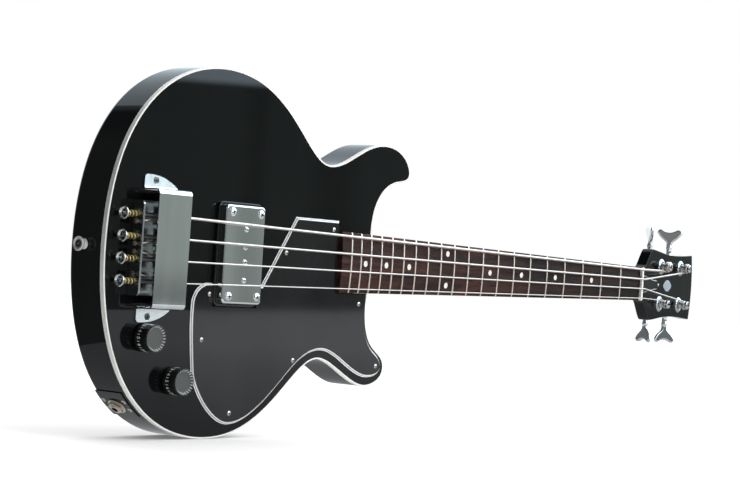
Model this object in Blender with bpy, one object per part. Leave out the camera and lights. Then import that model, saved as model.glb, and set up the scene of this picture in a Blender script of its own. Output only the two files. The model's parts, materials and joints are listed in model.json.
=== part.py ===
"""A short-scale four-string electric bass guitar, as an assembly of separate pieces.

The frame: X runs along the strings from the bridge towards the headstock, with X = 0 at the end
of the scale length. Y = 0 is the body's back, and the face looks along -Y. Z = 0 is the
centreline, and +Z is the side of the thickest string. Sizes below are in millimetres, and
finish() turns them into metres.
"""

import math

import bmesh
import bpy
from mathutils import Matrix, Vector
from mathutils.geometry import interpolate_bezier

MM = 0.001
GAP = 0.3  # between neighbouring pieces

# Body
BODY_THICKNESS = 44.0
FACE = -BODY_THICKNESS
BACK_ROUND = 6.0
BINDING_WIDTH = 1.5
BINDING_DEPTH = 4.4
# Edge of the black face, from the tail round the bass side, then round the treble side:
# (x, z, direction in degrees, handle before, handle after, points to the next knot)
BASS_KNOTS = (
    (-69.5, 0.0, 90, 0, 122, 16),
    (65.0, 163.3, 0, 61, 90, 14),
    (213.0, 88.9, 0, 36, 27, 8),
    (294.0, 115.1, 0, 32, 25, 7),
    (332.0, 91.0, -90, 10, 5, 4),
    (318.0, 83.2, 188, 7, 28, 8),
    (278.2, 30.0, -90, 27, 0, 0),
)
TREBLE_KNOTS = (
    (-69.5, 0.0, -90, 0, 112, 16),
    (65.0, -163.6, 0, 75, 83, 14),
    (212.0, -91.2, 0, 36, 21, 8),
    (284.0, -117.0, 0, 23, 7, 6),
    (309.8, -100.0, 90, 13, 6, 4),
    (301.0, -87.2, 148, 6, 12, 8),
    (277.2, -40.0, 90, 33, 3, 1),
    (277.8, -30.0, 90, 3, 0, 0),
)

# Neck
SCALE_LENGTH = 774.7
FRET_COUNT = 20
NECK_ANGLE = math.radians(1.0)
FRETBOARD_ABOVE_FACE = 7.0
FRETBOARD_END = 230.3
FRETBOARD_THICKNESS = 6.0
FRETBOARD_RADIUS = 305.0
FRET_WIDTH = 2.4
FRET_HEIGHT = 1.1
HALF_WIDTH_AT_NUT = 19.0
HALF_WIDTH_AT_END = 29.1
NECK_TOP = FRETBOARD_THICKNESS + GAP
HEEL_DEPTH = 17.0  # below the fretboard
HEEL_EDGE = 283.0
NUT_THICKNESS = 5.0
NUT_TOP = -1.9
TRUSS_CHANNEL = (240.0, 796.0, 3.6, 8.5)  # start, end, half-width, depth

# Headstock, in its own frame: x from the nut, y = 0 on the face, +y to the back
HEAD_ANGLE = math.radians(7.0)
HEAD_DROP = 7.0
HEAD_THICKNESS = 13.0
HEAD_KNOTS = (
    (-4.0, 18.6, 0, 0, 8, 2),
    (22.0, 21.5, 45, 8, 6, 3),
    (37.0, 39.6, 40, 7, 3, 2),
    (44.0, 41.5, -5, 4, 24, 4),
    (103.0, 36.6, 0, 24, 20, 4),
    (158.0, 39.0, 4, 16, 0, 0),
)
HEAD_END_BULGE = 4.5
POSTS_X = (67.0, 124.0)
POST_Z = 22.0
POST_RADIUS = 4.95
POST_HEIGHT = 13.0
GEAR_RADIUS = 7.2
GEAR_TEETH = 20
WORM_RADIUS = 2.6
WORM_OFFSET = 10.2
WORM_Y = HEAD_THICKNESS + 7.8
WORM_BORE = 2.35
KEY_SHAFT_RADIUS = 2.2
TUNER_PLATE_BEHIND = 13.0  # from the post towards the nut
TUNER_PLATE_AHEAD = 19.0
TUNER_PLATE_HALF = 13.5
TUNER_PLATE_SHEET = 1.6
EAR_NEAR = 9.0  # the ears that hold the worm, measured from its middle
EAR_FAR = 11.5
EAR_HALF_WIDTH = 5.0
EAR_ABOVE_WORM = 4.2
POST_HOLE_RADIUS = 6.5
KEY_START = 45.0
KEY_HEIGHT = 22.0
KEY_SPAN = 29.0

# Strings, from the thickest: name, radius, side (+1 bass), place from the centreline (1 or 3
# half gaps), which post, saddle position and the key's turn about its shaft in degrees
STRINGS = (
    ("e", 1.33, 1, 3, 0, -4.5, 37.0),
    ("a", 1.08, 1, 1, 1, -3.0, 118.0),
    ("d", 0.83, -1, 1, 1, -1.5, 151.0),
    ("g", 0.57, -1, 3, 0, 0.0, 58.0),
)
HALF_GAP_AT_BRIDGE = 9.5
HALF_GAP_AT_NUT = 5.5
STRING_ABOVE_FACE = 16.6

# Bridge, heights above the face
BRIDGE_BACK = -42.0
BRIDGE_FRONT = 24.0
BRIDGE_HALF_WIDTH = 40.6
BRIDGE_BASE = 1.6
BRIDGE_WALL = 14.0
BRIDGE_SIDE = 9.0
WALL_THICKNESS = 2.0
SADDLE_HALF_WIDTH = 8.0
SADDLE_LENGTH = 15.0
SCREW_HEIGHT = 8.0
SCREW_RADIUS = 2.0
SCREW_HEAD_RADIUS = 5.9
SCREW_HEAD_X = -60.0
SCREW_HEAD_LENGTH = 3.6
SCREW_LENGTH = 74.0
SPRING_RADIUS = 3.0
SPRING_WIRE_RADIUS = 0.6
SPRING_TURNS = 4
ANCHOR_OFFSET = 6.2
BALL_RADIUS = 2.4

# Bridge cover
COVER_BACK = -30.5
COVER_FRONT = 9.0
COVER_HALF_WIDTH = 51.6
COVER_HEIGHT = 20.6
COVER_SHEET = 1.2
COVER_BEND = 4.5
TAB_EDGE = 63.6

# Pickup
PICKUP_BACK = 64.5
PICKUP_FRONT = 115.5
PICKUP_HALF_WIDTH = 44.2
PICKUP_HEIGHT = 10.5
PICKUP_CORNER = 4.0
PICKUP_DEPTH = 9.0
RING_MARGIN = 2.6
RING_HEIGHT = 3.0

# Controls
KNOBS = (("volume", -19.0, -76.5), ("tone", 18.8, -113.5))
KNOB_HEIGHT = 17.0
KNOB_BASE_RADIUS = 12.2
KNOB_TOP_RADIUS = 11.2
SHAFT_RADIUS = 3.0
POT_RADIUS = 11.0
TOP_WOOD = 6.5  # left over the control cavity
CAVITY_HALF_LENGTH = 38.5  # along the line through both knobs
CAVITY_HALF_WIDTH = 21.0
CAVITY_SHIFT = 7.0  # from that line towards the rim
CAVITY_CORNER = 12.0
COVER_LIP = 4.0
BACK_PLATE = 1.8

# Jack and strap buttons
JACK_Z = -136.7
JACK_DEPTH = 25.0  # below the face
JACK_PLATE_HALF = 18.0
JACK_PLATE_SHEET = 1.8
JACK_BORE = 3.2
JACK_THREAD = 4.75
BUTTON_DEPTH = 24.5
BUTTON_LENGTH = 8.0
BUTTON_FOOT_RADIUS = 4.6
BUTTON_WAIST_RADIUS = 3.4
BUTTON_HEAD_RADIUS = 6.3

GUARD_SHEET = 2.2


# ---------------------------------------------------------------- shapes


def finish(bm, name, look, origin=(0, 0, 0), parent=None, turn=0.0, smooth=True):
    """Turns a bmesh drawn in millimetres into a named object whose origin is its joint's point."""
    bmesh.ops.recalc_face_normals(bm, faces=bm.faces)
    move = Matrix.Diagonal((MM, MM, MM, 1)) @ Matrix.Translation(-Vector(origin))
    bmesh.ops.transform(bm, matrix=move, verts=bm.verts)
    mesh = bpy.data.meshes.new(name)
    bm.to_mesh(mesh)
    bm.free()
    if smooth:
        mesh.shade_smooth()
        mesh.set_sharp_from_angle(angle=math.radians(35))
    obj = bpy.data.objects.new(name, mesh)
    obj.location = Vector(origin) * MM
    obj.rotation_euler.z = turn
    obj.parent = parent
    bpy.context.scene.collection.objects.link(obj)
    if look:
        mesh.materials.append(look)
    return obj


def as_cutter(obj):
    obj.hide_render = True
    obj.display_type = "WIRE"
    return obj


def combine(target, tool, operation):
    """Adds a Boolean to target. The tool is hidden and isn't a piece of the guitar."""
    modifier = target.modifiers.new(tool.name, "BOOLEAN")
    modifier.operation = operation
    modifier.solver = "EXACT"
    modifier.object = as_cutter(tool)


def loft(loops, closed=False):
    """Skins loops of equal length. An open loft gets end caps, and a closed one is a ring."""
    bm = bmesh.new()
    rows = [[bm.verts.new(point) for point in loop] for loop in loops]
    count = len(rows[0])
    pairs = list(zip(rows, rows[1:]))
    if closed:
        pairs.append((rows[-1], rows[0]))
    for low, high in pairs:
        for i in range(count):
            j = (i + 1) % count
            bm.faces.new((low[i], low[j], high[j], high[i]))
    if not closed:
        bm.faces.new(rows[0])
        bm.faces.new(rows[-1])
    return bm


def prism(outline, low, high):
    """An outline of (x, z) points, extruded along Y."""
    return loft([[(x, y, z) for x, z in outline] for y in (low, high)])


def box(low, high):
    corners = ((low[0], low[2]), (high[0], low[2]), (high[0], high[2]), (low[0], high[2]))
    return prism(corners, low[1], high[1])


def turned(profile, centre, axis, segments, bore=False):
    """Turns a profile of (radius, distance along the axis). With a bore, the profile closes."""
    along = Vector(axis).normalized()
    side = along.orthogonal().normalized()
    other = along.cross(side)
    loops = []
    for radius, distance in profile:
        middle = Vector(centre) + along * distance
        angles = [math.tau * i / segments for i in range(segments)]
        loops.append([middle + radius * (math.cos(a) * side + math.sin(a) * other) for a in angles])
    return loft(loops, closed=bore)


def swept(path, radius, sides):
    """A round bar along a path of points."""
    points = [Vector(point) for point in path]
    side = (points[1] - points[0]).orthogonal().normalized()
    loops = []
    for i, point in enumerate(points):
        ahead = points[min(i + 1, len(points) - 1)] - points[max(i - 1, 0)]
        ahead.normalize()
        side = (side - ahead * side.dot(ahead)).normalized()
        other = ahead.cross(side)
        angles = [math.tau * k / sides for k in range(sides)]
        loops.append([point + radius * (math.cos(a) * side + math.sin(a) * other) for a in angles])
    return loft(loops)


def rounded_rectangle(low_x, high_x, low_z, high_z, radius, steps=4):
    corners = (
        (high_x - radius, high_z - radius, 0),
        (low_x + radius, high_z - radius, 90),
        (low_x + radius, low_z + radius, 180),
        (high_x - radius, low_z + radius, 270),
    )
    points = []
    for x, z, start in corners:
        for i in range(steps + 1):
            angle = math.radians(start + 90 * i / steps)
            points.append((x + radius * math.cos(angle), z + radius * math.sin(angle)))
    return points


def smooth_path(knots):
    """Points along cubic curves through knots of (x, z, direction, handle in, handle out, points)."""
    points = []
    for knot, after in zip(knots, knots[1:]):
        start = Vector((knot[0], knot[1], 0))
        end = Vector((after[0], after[1], 0))
        leave = math.radians(knot[2])
        arrive = math.radians(after[2])
        handle = start + knot[4] * Vector((math.cos(leave), math.sin(leave), 0))
        other = end - after[3] * Vector((math.cos(arrive), math.sin(arrive), 0))
        piece = interpolate_bezier(start, handle, other, end, knot[5] + 1)
        points += [(p.x, p.y) for p in piece[:-1]]
    return points + [(knots[-1][0], knots[-1][1])]


def body_outline(offset):
    """The body's outline, offset outwards, anticlockwise with +Z up and +X to the right."""
    treble = smooth_path(TREBLE_KNOTS)
    bass = smooth_path(BASS_KNOTS)
    return offset_outline(treble + bass[:0:-1], offset)


def offset_outline(outline, offset):
    """Moves each point of an anticlockwise outline outwards."""
    moved = []
    for i, (x, z) in enumerate(outline):
        before = Vector(outline[i - 1])
        after = Vector(outline[(i + 1) % len(outline)])
        along = (after - before).normalized()
        moved.append((x + offset * along.y, z - offset * along.x))
    return moved


# ---------------------------------------------------------------- materials


def material(name, colour, roughness, metallic=0.0):
    made = bpy.data.materials.new(name)
    made.use_nodes = True
    shader = made.node_tree.nodes["Principled BSDF"]
    shader.inputs["Base Color"].default_value = (*colour, 1)
    shader.inputs["Roughness"].default_value = roughness
    shader.inputs["Metallic"].default_value = metallic
    return made


def make_looks():
    return {
        "lacquer": material("black_lacquer", (0.012, 0.013, 0.014), 0.06),
        "binding": material("ivory_binding", (0.82, 0.8, 0.74), 0.3),
        "rosewood": material("rosewood", (0.09, 0.045, 0.03), 0.45),
        "bone": material("white_nut", (0.85, 0.83, 0.77), 0.4),
        "guard": material("black_guard", (0.02, 0.021, 0.023), 0.12),
        "plastic": material("black_plastic", (0.015, 0.015, 0.016), 0.25),
        "chrome": material("chrome", (0.82, 0.83, 0.84), 0.08, 1.0),
        "nickel": material("nickel", (0.72, 0.7, 0.66), 0.22, 1.0),
        "steel": material("string_steel", (0.78, 0.77, 0.74), 0.3, 1.0),
        "brass": material("brass", (0.75, 0.52, 0.22), 0.3, 1.0),
        "copper": material("coil_copper", (0.55, 0.25, 0.12), 0.4, 1.0),
    }


# ---------------------------------------------------------------- body


def make_body(look, neck_pocket):
    layers = [
        (FACE, -GAP),
        (FACE + BINDING_DEPTH + GAP, -GAP),
        (FACE + BINDING_DEPTH + GAP, BINDING_WIDTH),
    ]
    steps = 3
    for i in range(steps + 1):
        angle = math.pi / 2 * i / steps
        inset = BACK_ROUND * (1 - math.cos(angle))
        layers.append((-BACK_ROUND + BACK_ROUND * math.sin(angle), BINDING_WIDTH - inset))
    loops = [[(x, y, z) for x, z in body_outline(offset)] for y, offset in layers]
    body = finish(loft(loops), "body", look)
    combine(body, neck_pocket, "DIFFERENCE")
    for tool in body_cutters():
        combine(body, tool, "DIFFERENCE")
    return body


def make_neck_pocket(neck_frame):
    """The tapered slot that the neck's heel lies in. It opens the binding as well as the body."""
    far = HEEL_EDGE + 20
    near = FRETBOARD_END - GAP
    outline = [
        (near, neck_half_width(near) + GAP),
        (near, -neck_half_width(near) - GAP),
        (far, -neck_half_width(far) - GAP),
        (far, neck_half_width(far) + GAP),
    ]
    slot = prism(outline, -3, NECK_TOP + HEEL_DEPTH + GAP)
    return finish(slot, "cut_neck_pocket", None, parent=neck_frame)


def body_cutters():
    """The hollows of the body, each reaching past the surface it opens."""
    cavity = rounded_rectangle(
        PICKUP_BACK - 0.6, PICKUP_FRONT + 0.6, -PICKUP_HALF_WIDTH - 0.6, PICKUP_HALF_WIDTH + 0.6, 5
    )
    yield finish(prism(cavity, FACE - 2, FACE + 20), "cut_pickup_cavity", None)
    cavity = prism(cavity_outline(0), FACE + TOP_WOOD, 2)
    yield finish(cavity, "cut_control_cavity", None)
    recess = prism(cavity_outline(COVER_LIP + GAP), -BACK_PLATE - 2 * GAP, 3)
    yield finish(recess, "cut_cover_recess", None)
    for name, x, z in KNOBS:
        hole = turned(((4.4, 0), (4.4, 12)), (x, FACE - 2, z), (0, 1, 0), 16)
        yield finish(hole, f"cut_{name}_hole", None)
    outward, middle = jack_place()
    hole = turned(((11, -3), (11, 30)), middle, -outward, 16)
    yield finish(hole, "cut_jack_hole", None)
    channel = swept(((80, FACE + 14, -30), (20, FACE + 16, -80)), 3.5, 10)
    yield finish(channel, "cut_wire_channel", None)


def cavity_outline(margin):
    """A rounded rectangle along the line through both knobs, moved towards the rim."""
    first, second = (Vector((x, z)) for _, x, z in KNOBS)
    along = (second - first).normalized()
    rimward = Vector((along.y, -along.x))
    centre = (first + second) / 2 + rimward * CAVITY_SHIFT
    length = CAVITY_HALF_LENGTH + margin
    width = CAVITY_HALF_WIDTH + margin
    flat = rounded_rectangle(-length, length, -width, width, CAVITY_CORNER + margin, 3)
    points = [centre + along * u + rimward * -v for u, v in flat]
    return [(point.x, point.y) for point in points]


def jack_place():
    """The rim's outward direction and the point on the rim where the jack sits."""
    outline = body_outline(BINDING_WIDTH)
    index = next(i for i, (x, z) in enumerate(outline) if z < JACK_Z)
    before = Vector(outline[index - 1])
    along = (Vector(outline[index]) - before).normalized()
    point = before + along * (JACK_Z - before.y) / along.y
    return Vector((along.y, 0, -along.x)), Vector((point.x, FACE + JACK_DEPTH, point.y))


def make_binding(look, neck_pocket):
    edge = (
        (FACE, 0.0),
        (FACE, BINDING_WIDTH),
        (FACE + BINDING_DEPTH, BINDING_WIDTH),
        (FACE + BINDING_DEPTH, 0.0),
    )
    loops = [[(x, y, z) for x, z in body_outline(offset)] for y, offset in edge]
    binding = finish(loft(loops, closed=True), "binding", look)
    combine(binding, neck_pocket, "DIFFERENCE")
    return binding


def guard_outline():
    """The scratchplate: straight along the strings, then round the lower bout and the horn."""
    neck_x = FRETBOARD_END - 2 * GAP
    neck_z = neck_half_width(FRETBOARD_END) + 0.6
    ring_back = PICKUP_BACK - RING_MARGIN - 0.6
    ring_front = PICKUP_FRONT + RING_MARGIN + 0.6
    ring_z = -PICKUP_HALF_WIDTH - RING_MARGIN - 0.6
    top_z = -26.5
    upper = [(neck_x, 39.0), (168.0, 39.0), (125.5, top_z), (ring_front, top_z)]
    upper += [(ring_front, ring_z), (ring_back, ring_z), (ring_back, top_z)]
    sweep = (
        (56.0, top_z, 180, 0, 10, 5),
        (36.4, -45.0, -93, 10, 20, 2),
        (41.5, -106.0, -82, 20, 14, 6),
        (92.0, -152.8, 0, 24, 28, 6),
        (171.0, -104.8, 42, 30, 14, 5),
        (214.0, -84.4, 0, 18, 22, 6),
        (284.0, -109.6, 0, 23, 8, 5),
        (306.0, -100.0, 70, 9, 3, 3),
        (298.0, -87.6, 146, 5, 10, 6),
        (276.4, -46.0, 90, 30, 0, 0),
    )
    return upper + smooth_path(sweep) + [(276.4, -neck_z), (neck_x, -neck_z)]


def make_pickguard(look):
    return finish(
        prism(guard_outline(), FACE - GAP - GUARD_SHEET, FACE - GAP), "pickguard", look
    )


# ---------------------------------------------------------------- neck


def neck_half_width(x):
    share = (SCALE_LENGTH - x) / (SCALE_LENGTH - FRETBOARD_END)
    return HALF_WIDTH_AT_NUT + share * (HALF_WIDTH_AT_END - HALF_WIDTH_AT_NUT)


def neck_section(x, depth, squareness, sides=14):
    """Half of a superellipse under the fretboard: 2 is round, and a high number is square."""
    half = neck_half_width(x)
    loop = []
    for i in range(sides + 1):
        angle = math.pi * i / sides
        across = math.copysign(abs(math.cos(angle)) ** (2 / squareness), math.cos(angle))
        down = math.sin(angle) ** (2 / squareness) if 0 < i < sides else 0.0
        loop.append((x, NECK_TOP + 2 + (depth - 2) * down, half * across))
    return [(x, NECK_TOP, half), *loop, (x, NECK_TOP, -half)]


def make_neck(look, neck_frame, head_frame):
    stations = (
        (FRETBOARD_END, HEEL_DEPTH, 16),
        (HEEL_EDGE, HEEL_DEPTH, 16),
        (290.0, 17.0, 6),
        (300.0, 16.8, 3.0),
        (330.0, 16.4, 2.2),
        (550.0, 15.2, 2.2),
        (745.0, 14.0, 2.2),
        (770.0, 13.8, 2.4),
        (SCALE_LENGTH + NUT_THICKNESS, 13.6, 3.0),
    )
    loops = [neck_section(*station) for station in stations]
    neck = finish(loft(loops), "neck", look, parent=neck_frame)
    combine(neck, make_headstock(head_frame), "UNION")
    start, end, half, depth = TRUSS_CHANNEL
    channel = box((start, NECK_TOP - 3, -half), (end, NECK_TOP + depth, half))
    combine(neck, finish(channel, "cut_truss_channel", None, parent=neck_frame), "DIFFERENCE")
    return neck


def make_headstock(head_frame):
    """Joined to the neck, and its post holes are cut here."""
    upper = smooth_path(HEAD_KNOTS)
    length, half = upper[-1]
    steps = 6
    end = []
    for i in range(1, steps):
        share = 1 - 2 * i / steps
        end.append((length + HEAD_END_BULGE * (1 - share * share), half * share))
    outline = upper + end + [(x, -z) for x, z in reversed(upper)]
    head = finish(prism(outline, 0, HEAD_THICKNESS), "tool_headstock", None, parent=head_frame)
    for i, x in enumerate(POSTS_X):
        for side in (1, -1):
            depths = ((POST_HOLE_RADIUS, -2), (POST_HOLE_RADIUS, HEAD_THICKNESS + 2))
            hole = turned(depths, (x, 0, side * POST_Z), (0, 1, 0), 14)
            name = f"cut_post_hole_{i}_{'bass' if side > 0 else 'treble'}"
            combine(head, finish(hole, name, None, parent=head_frame), "DIFFERENCE")
    return head


def fret_position(number):
    return SCALE_LENGTH * 2 ** (-number / 12)


def fretboard_section(x, rise, steps=4):
    """A cambered section. rise lifts the top where a fret stands."""
    half = neck_half_width(x)
    loop = [(x, FRETBOARD_THICKNESS, half), (x, FRETBOARD_THICKNESS, -half)]
    for i in range(steps + 1):
        z = half * (2 * i / steps - 1)
        drop = FRETBOARD_RADIUS - math.sqrt(FRETBOARD_RADIUS**2 - z * z)
        loop.append((x, drop - rise, z))
    return loop


def make_fretboard(look, neck_frame):
    """The frets are pressed in for good, so they are raised from the same solid."""
    loops = [fretboard_section(FRETBOARD_END, 0)]
    for number in range(FRET_COUNT, 0, -1):
        x = fret_position(number)
        low, high = x - FRET_WIDTH / 2, x + FRET_WIDTH / 2
        loops.append(fretboard_section(low, 0))
        loops.append(fretboard_section(low + 0.3, FRET_HEIGHT))
        loops.append(fretboard_section(high - 0.3, FRET_HEIGHT))
        loops.append(fretboard_section(high, 0))
    loops.append(fretboard_section(SCALE_LENGTH, 0))
    return finish(loft(loops), "fretboard", look, parent=neck_frame)


def make_nut(look, neck_frame):
    low = (SCALE_LENGTH + GAP, NUT_TOP, -HALF_WIDTH_AT_NUT)
    high = (SCALE_LENGTH + NUT_THICKNESS, FRETBOARD_THICKNESS, HALF_WIDTH_AT_NUT)
    return finish(box(low, high), "nut", look, parent=neck_frame, smooth=False)


def make_truss_rod(look, neck_frame):
    """A rod with the adjusting nut that is reached from the headstock."""
    middle = NECK_TOP + 5.4
    start = TRUSS_CHANNEL[0] + 3
    profile = ((2.2, start), (2.2, 776), (2.7, 776), (2.7, 790))
    rod = turned(profile, (0, middle, 0), (1, 0, 0), 12)
    return finish(rod, "truss_rod", look, parent=neck_frame)


def make_truss_rod_cover(look, head_frame):
    """A bell-shaped plate over the rod's end."""
    knots = (
        (0.6, 10.5, 0, 0, 8, 2),
        (22.0, 9.5, -10, 8, 10, 3),
        (50.0, 5.5, -2, 12, 5, 3),
        (60.0, 0.0, -90, 5, 0, 0),
    )
    upper = smooth_path(knots)
    outline = upper + [(x, -z) for x, z in reversed(upper[:-1])]
    plate = prism(outline, -GAP - 1.8, -GAP)
    return finish(plate, "truss_rod_cover", look, parent=head_frame)


def make_neck_plate(look):
    outline = rounded_rectangle(227, 273, -31, 31, 5)
    return finish(prism(outline, GAP, GAP + 2), "neck_plate", look)


# ---------------------------------------------------------------- tuners


def make_bushing(name, x, z, look, head_frame):
    profile = ((5.5, -2.0), (7.6, -2.0), (9.2, -GAP), (6.2, -GAP), (6.2, 8), (5.5, 8))
    ring = turned(profile, (x, 0, z), (0, 1, 0), 14, bore=True)
    return finish(ring, f"tuner_bushing_{name}", look, parent=head_frame)


def make_tuner_plate(name, x, z, look, head_frame):
    """The plate on the headstock's back, with two ears that carry the worm."""
    back = HEAD_THICKNESS + GAP
    outline = rounded_rectangle(
        x - TUNER_PLATE_BEHIND, x + TUNER_PLATE_AHEAD, z - TUNER_PLATE_HALF, z + TUNER_PLATE_HALF, 4, 2
    )
    sheet = prism(outline, back, back + TUNER_PLATE_SHEET)
    plate = finish(sheet, f"tuner_plate_{name}", look, parent=head_frame)
    for end in (-1, 1):
        near, far = sorted((z + end * EAR_NEAR, z + end * EAR_FAR))
        worm_x = x + WORM_OFFSET
        low = (worm_x - EAR_HALF_WIDTH, back + 0.5, near)
        high = (worm_x + EAR_HALF_WIDTH, WORM_Y + EAR_ABOVE_WORM, far)
        ear = finish(box(low, high), f"tool_ear_{name}_{end + 1}", None, parent=head_frame)
        combine(plate, ear, "UNION")
    bore = POST_RADIUS + 0.2
    post_hole = turned(((bore, 0), (bore, 6)), (x, back - 1, z), (0, 1, 0), 14)
    combine(plate, finish(post_hole, f"cut_plate_{name}", None, parent=head_frame), "DIFFERENCE")
    start = (x + WORM_OFFSET, WORM_Y, z - 16)
    worm_hole = turned(((WORM_BORE, 0), (WORM_BORE, 32)), start, (0, 0, 1), 12)
    combine(plate, finish(worm_hole, f"cut_ears_{name}", None, parent=head_frame), "DIFFERENCE")
    return plate


def make_tuner_post(name, x, z, look, head_frame):
    """The string post with its gear behind the plate."""
    low = WORM_Y - 2
    profile = (
        (4.3, -POST_HEIGHT),
        (4.9, -POST_HEIGHT + 1.0),
        (3.7, -POST_HEIGHT + 5),
        (3.7, -4.5),
        (POST_RADIUS, -2.5),
        (POST_RADIUS, low + 3),
    )
    shape = turned(profile, (x, 0, z), (0, 1, 0), 14)
    post = finish(shape, f"tuner_post_{name}", look, origin=(x, 0, z), parent=head_frame)
    outline = []
    for i in range(2 * GEAR_TEETH):
        angle = math.tau * i / (2 * GEAR_TEETH)
        reach = GEAR_RADIUS - 0.8 * (i % 2)
        outline.append((x + reach * math.cos(angle), z + reach * math.sin(angle)))
    gear = finish(prism(outline, low, low + 4), f"tool_gear_{name}", None, parent=head_frame)
    combine(post, gear, "UNION")
    return post


def key_outline():
    """The wing of a tuning key: a stem that opens into two rounded lobes."""
    half = KEY_SPAN / 2
    knots = (
        (0.0, 4.0, 0, 0, 3, 2),
        (9.0, 6.5, 55, 5, 5, 3),
        (17.0, half - 0.5, 40, 4, 3, 2),
        (KEY_HEIGHT, half - 2.5, -75, 3, 4, 3),
        (KEY_HEIGHT - 2.0, 0.0, -90, 6, 0, 0),
    )
    upper = smooth_path(knots)
    return upper + [(x, -z) for x, z in reversed(upper[:-1])]


def make_tuner_key(name, x, z, side, turn, look, head_frame):
    """The worm, its shaft and the wing, which turn together."""
    axis = (x + WORM_OFFSET, WORM_Y, z)
    reach = KEY_START - abs(z) + 1
    thin = KEY_SHAFT_RADIUS
    profile = ((thin, -13), (thin, -8.5), (WORM_RADIUS, -8.4), (WORM_RADIUS, 8.4), (thin, 8.5))
    profile += ((thin, 13), (3.4, 13.1), (3.4, reach))
    shaft = turned(profile, axis, (0, 0, side), 12)
    key = finish(shaft, f"tuner_key_{name}", look, origin=axis, parent=head_frame)
    outline = [(along + KEY_START, across) for along, across in key_outline()]
    loops = []
    for thickness, inset in ((-2.6, 1.2), (-1.4, 0.0), (1.4, 0.0), (2.6, 1.2)):
        loop = []
        for along, across in outline:
            pull = 1 - inset * 2 / KEY_SPAN
            centre = KEY_START + KEY_HEIGHT / 2
            height = centre + (along - centre) * pull
            loop.append((axis[0] + across * pull, axis[1] + thickness, side * height))
        loops.append(loop)
    wing = loft(loops)
    spin = Matrix.Rotation(math.radians(turn), 4, "Z")
    about = Matrix.Translation(Vector(axis))
    bmesh.ops.transform(wing, matrix=about @ spin @ about.inverted(), verts=wing.verts)
    combine(key, finish(wing, f"tool_wing_{name}", None, parent=head_frame), "UNION")
    return key


# ---------------------------------------------------------------- bridge and strings


def string_z(half_gaps, side, at_nut):
    return side * half_gaps * (HALF_GAP_AT_NUT if at_nut else HALF_GAP_AT_BRIDGE)


def make_bridge_plate(look):
    """A base with a back wall and low sides, drilled for the four long screws and the strings."""
    base = FACE - GAP
    low = (BRIDGE_BACK, base - BRIDGE_BASE, -BRIDGE_HALF_WIDTH)
    plate = finish(box(low, (BRIDGE_FRONT, base, BRIDGE_HALF_WIDTH)), "bridge_plate", look)
    wall_front = BRIDGE_BACK + WALL_THICKNESS
    low = (BRIDGE_BACK, FACE - BRIDGE_WALL, -BRIDGE_HALF_WIDTH)
    high = (wall_front, base - 0.5, BRIDGE_HALF_WIDTH)
    combine(plate, finish(box(low, high), "tool_bridge_wall", None), "UNION")
    for side in (-1, 1):
        near, far = sorted((side * (BRIDGE_HALF_WIDTH - WALL_THICKNESS), side * BRIDGE_HALF_WIDTH))
        low = (BRIDGE_BACK + 0.9, FACE - BRIDGE_SIDE, near)
        high = (BRIDGE_FRONT, base - 0.5, far)
        combine(plate, finish(box(low, high), f"tool_bridge_side_{side + 1}", None), "UNION")
    for name, radius, side, half_gaps, _, _, _ in STRINGS:
        z = string_z(half_gaps, side, False)
        start = (BRIDGE_BACK - 3, FACE - SCREW_HEIGHT, z)
        hole = turned(((2.3, 0), (2.3, 8)), start, (1, 0, 0), 12)
        combine(plate, finish(hole, f"cut_screw_hole_{name}", None), "DIFFERENCE")
        start = (BRIDGE_BACK - 3, FACE - SCREW_HEIGHT, z - side * ANCHOR_OFFSET)
        hole = turned(((radius + 0.4, 0), (radius + 0.4, 8)), start, (1, 0, 0), 10)
        combine(plate, finish(hole, f"cut_string_hole_{name}", None), "DIFFERENCE")
    return plate


def make_saddle(name, x, z, radius, look):
    """A block with a ridge under its string, bored for the long screw."""
    bottom = 2.6
    shoulder = 12.5
    ridge = STRING_ABOVE_FACE - radius - GAP
    profile = (
        (x - SADDLE_LENGTH / 2, bottom),
        (x + SADDLE_LENGTH / 2, bottom),
        (x + SADDLE_LENGTH / 2, shoulder - 3),
        (x + 1.2, ridge),
        (x - 1.2, ridge),
        (x - SADDLE_LENGTH / 2, shoulder - 4),
    )
    ends = (z - SADDLE_HALF_WIDTH, z + SADDLE_HALF_WIDTH)
    loops = [[(px, FACE - height, end) for px, height in profile] for end in ends]
    saddle = finish(loft(loops), f"saddle_{name}", look, origin=(x, FACE - SCREW_HEIGHT, z))
    start = (x - 12, FACE - SCREW_HEIGHT, z)
    bore = turned(((SCREW_RADIUS + 0.1, 0), (SCREW_RADIUS + 0.1, 24)), start, (1, 0, 0), 12)
    combine(saddle, finish(bore, f"cut_saddle_{name}", None), "DIFFERENCE")
    return saddle


def make_intonation_screw(name, z, look):
    """A long screw with a domed head behind the wall."""
    profile = (
        (2.2, 0.0),
        (4.6, 0.9),
        (SCREW_HEAD_RADIUS, 2.4),
        (SCREW_HEAD_RADIUS, SCREW_HEAD_LENGTH),
        (SCREW_RADIUS, SCREW_HEAD_LENGTH),
        (SCREW_RADIUS, SCREW_LENGTH),
    )
    start = (SCREW_HEAD_X, FACE - SCREW_HEIGHT, z)
    screw = turned(profile, start, (1, 0, 0), 12)
    return finish(screw, f"intonation_screw_{name}", look, origin=start)


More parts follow.
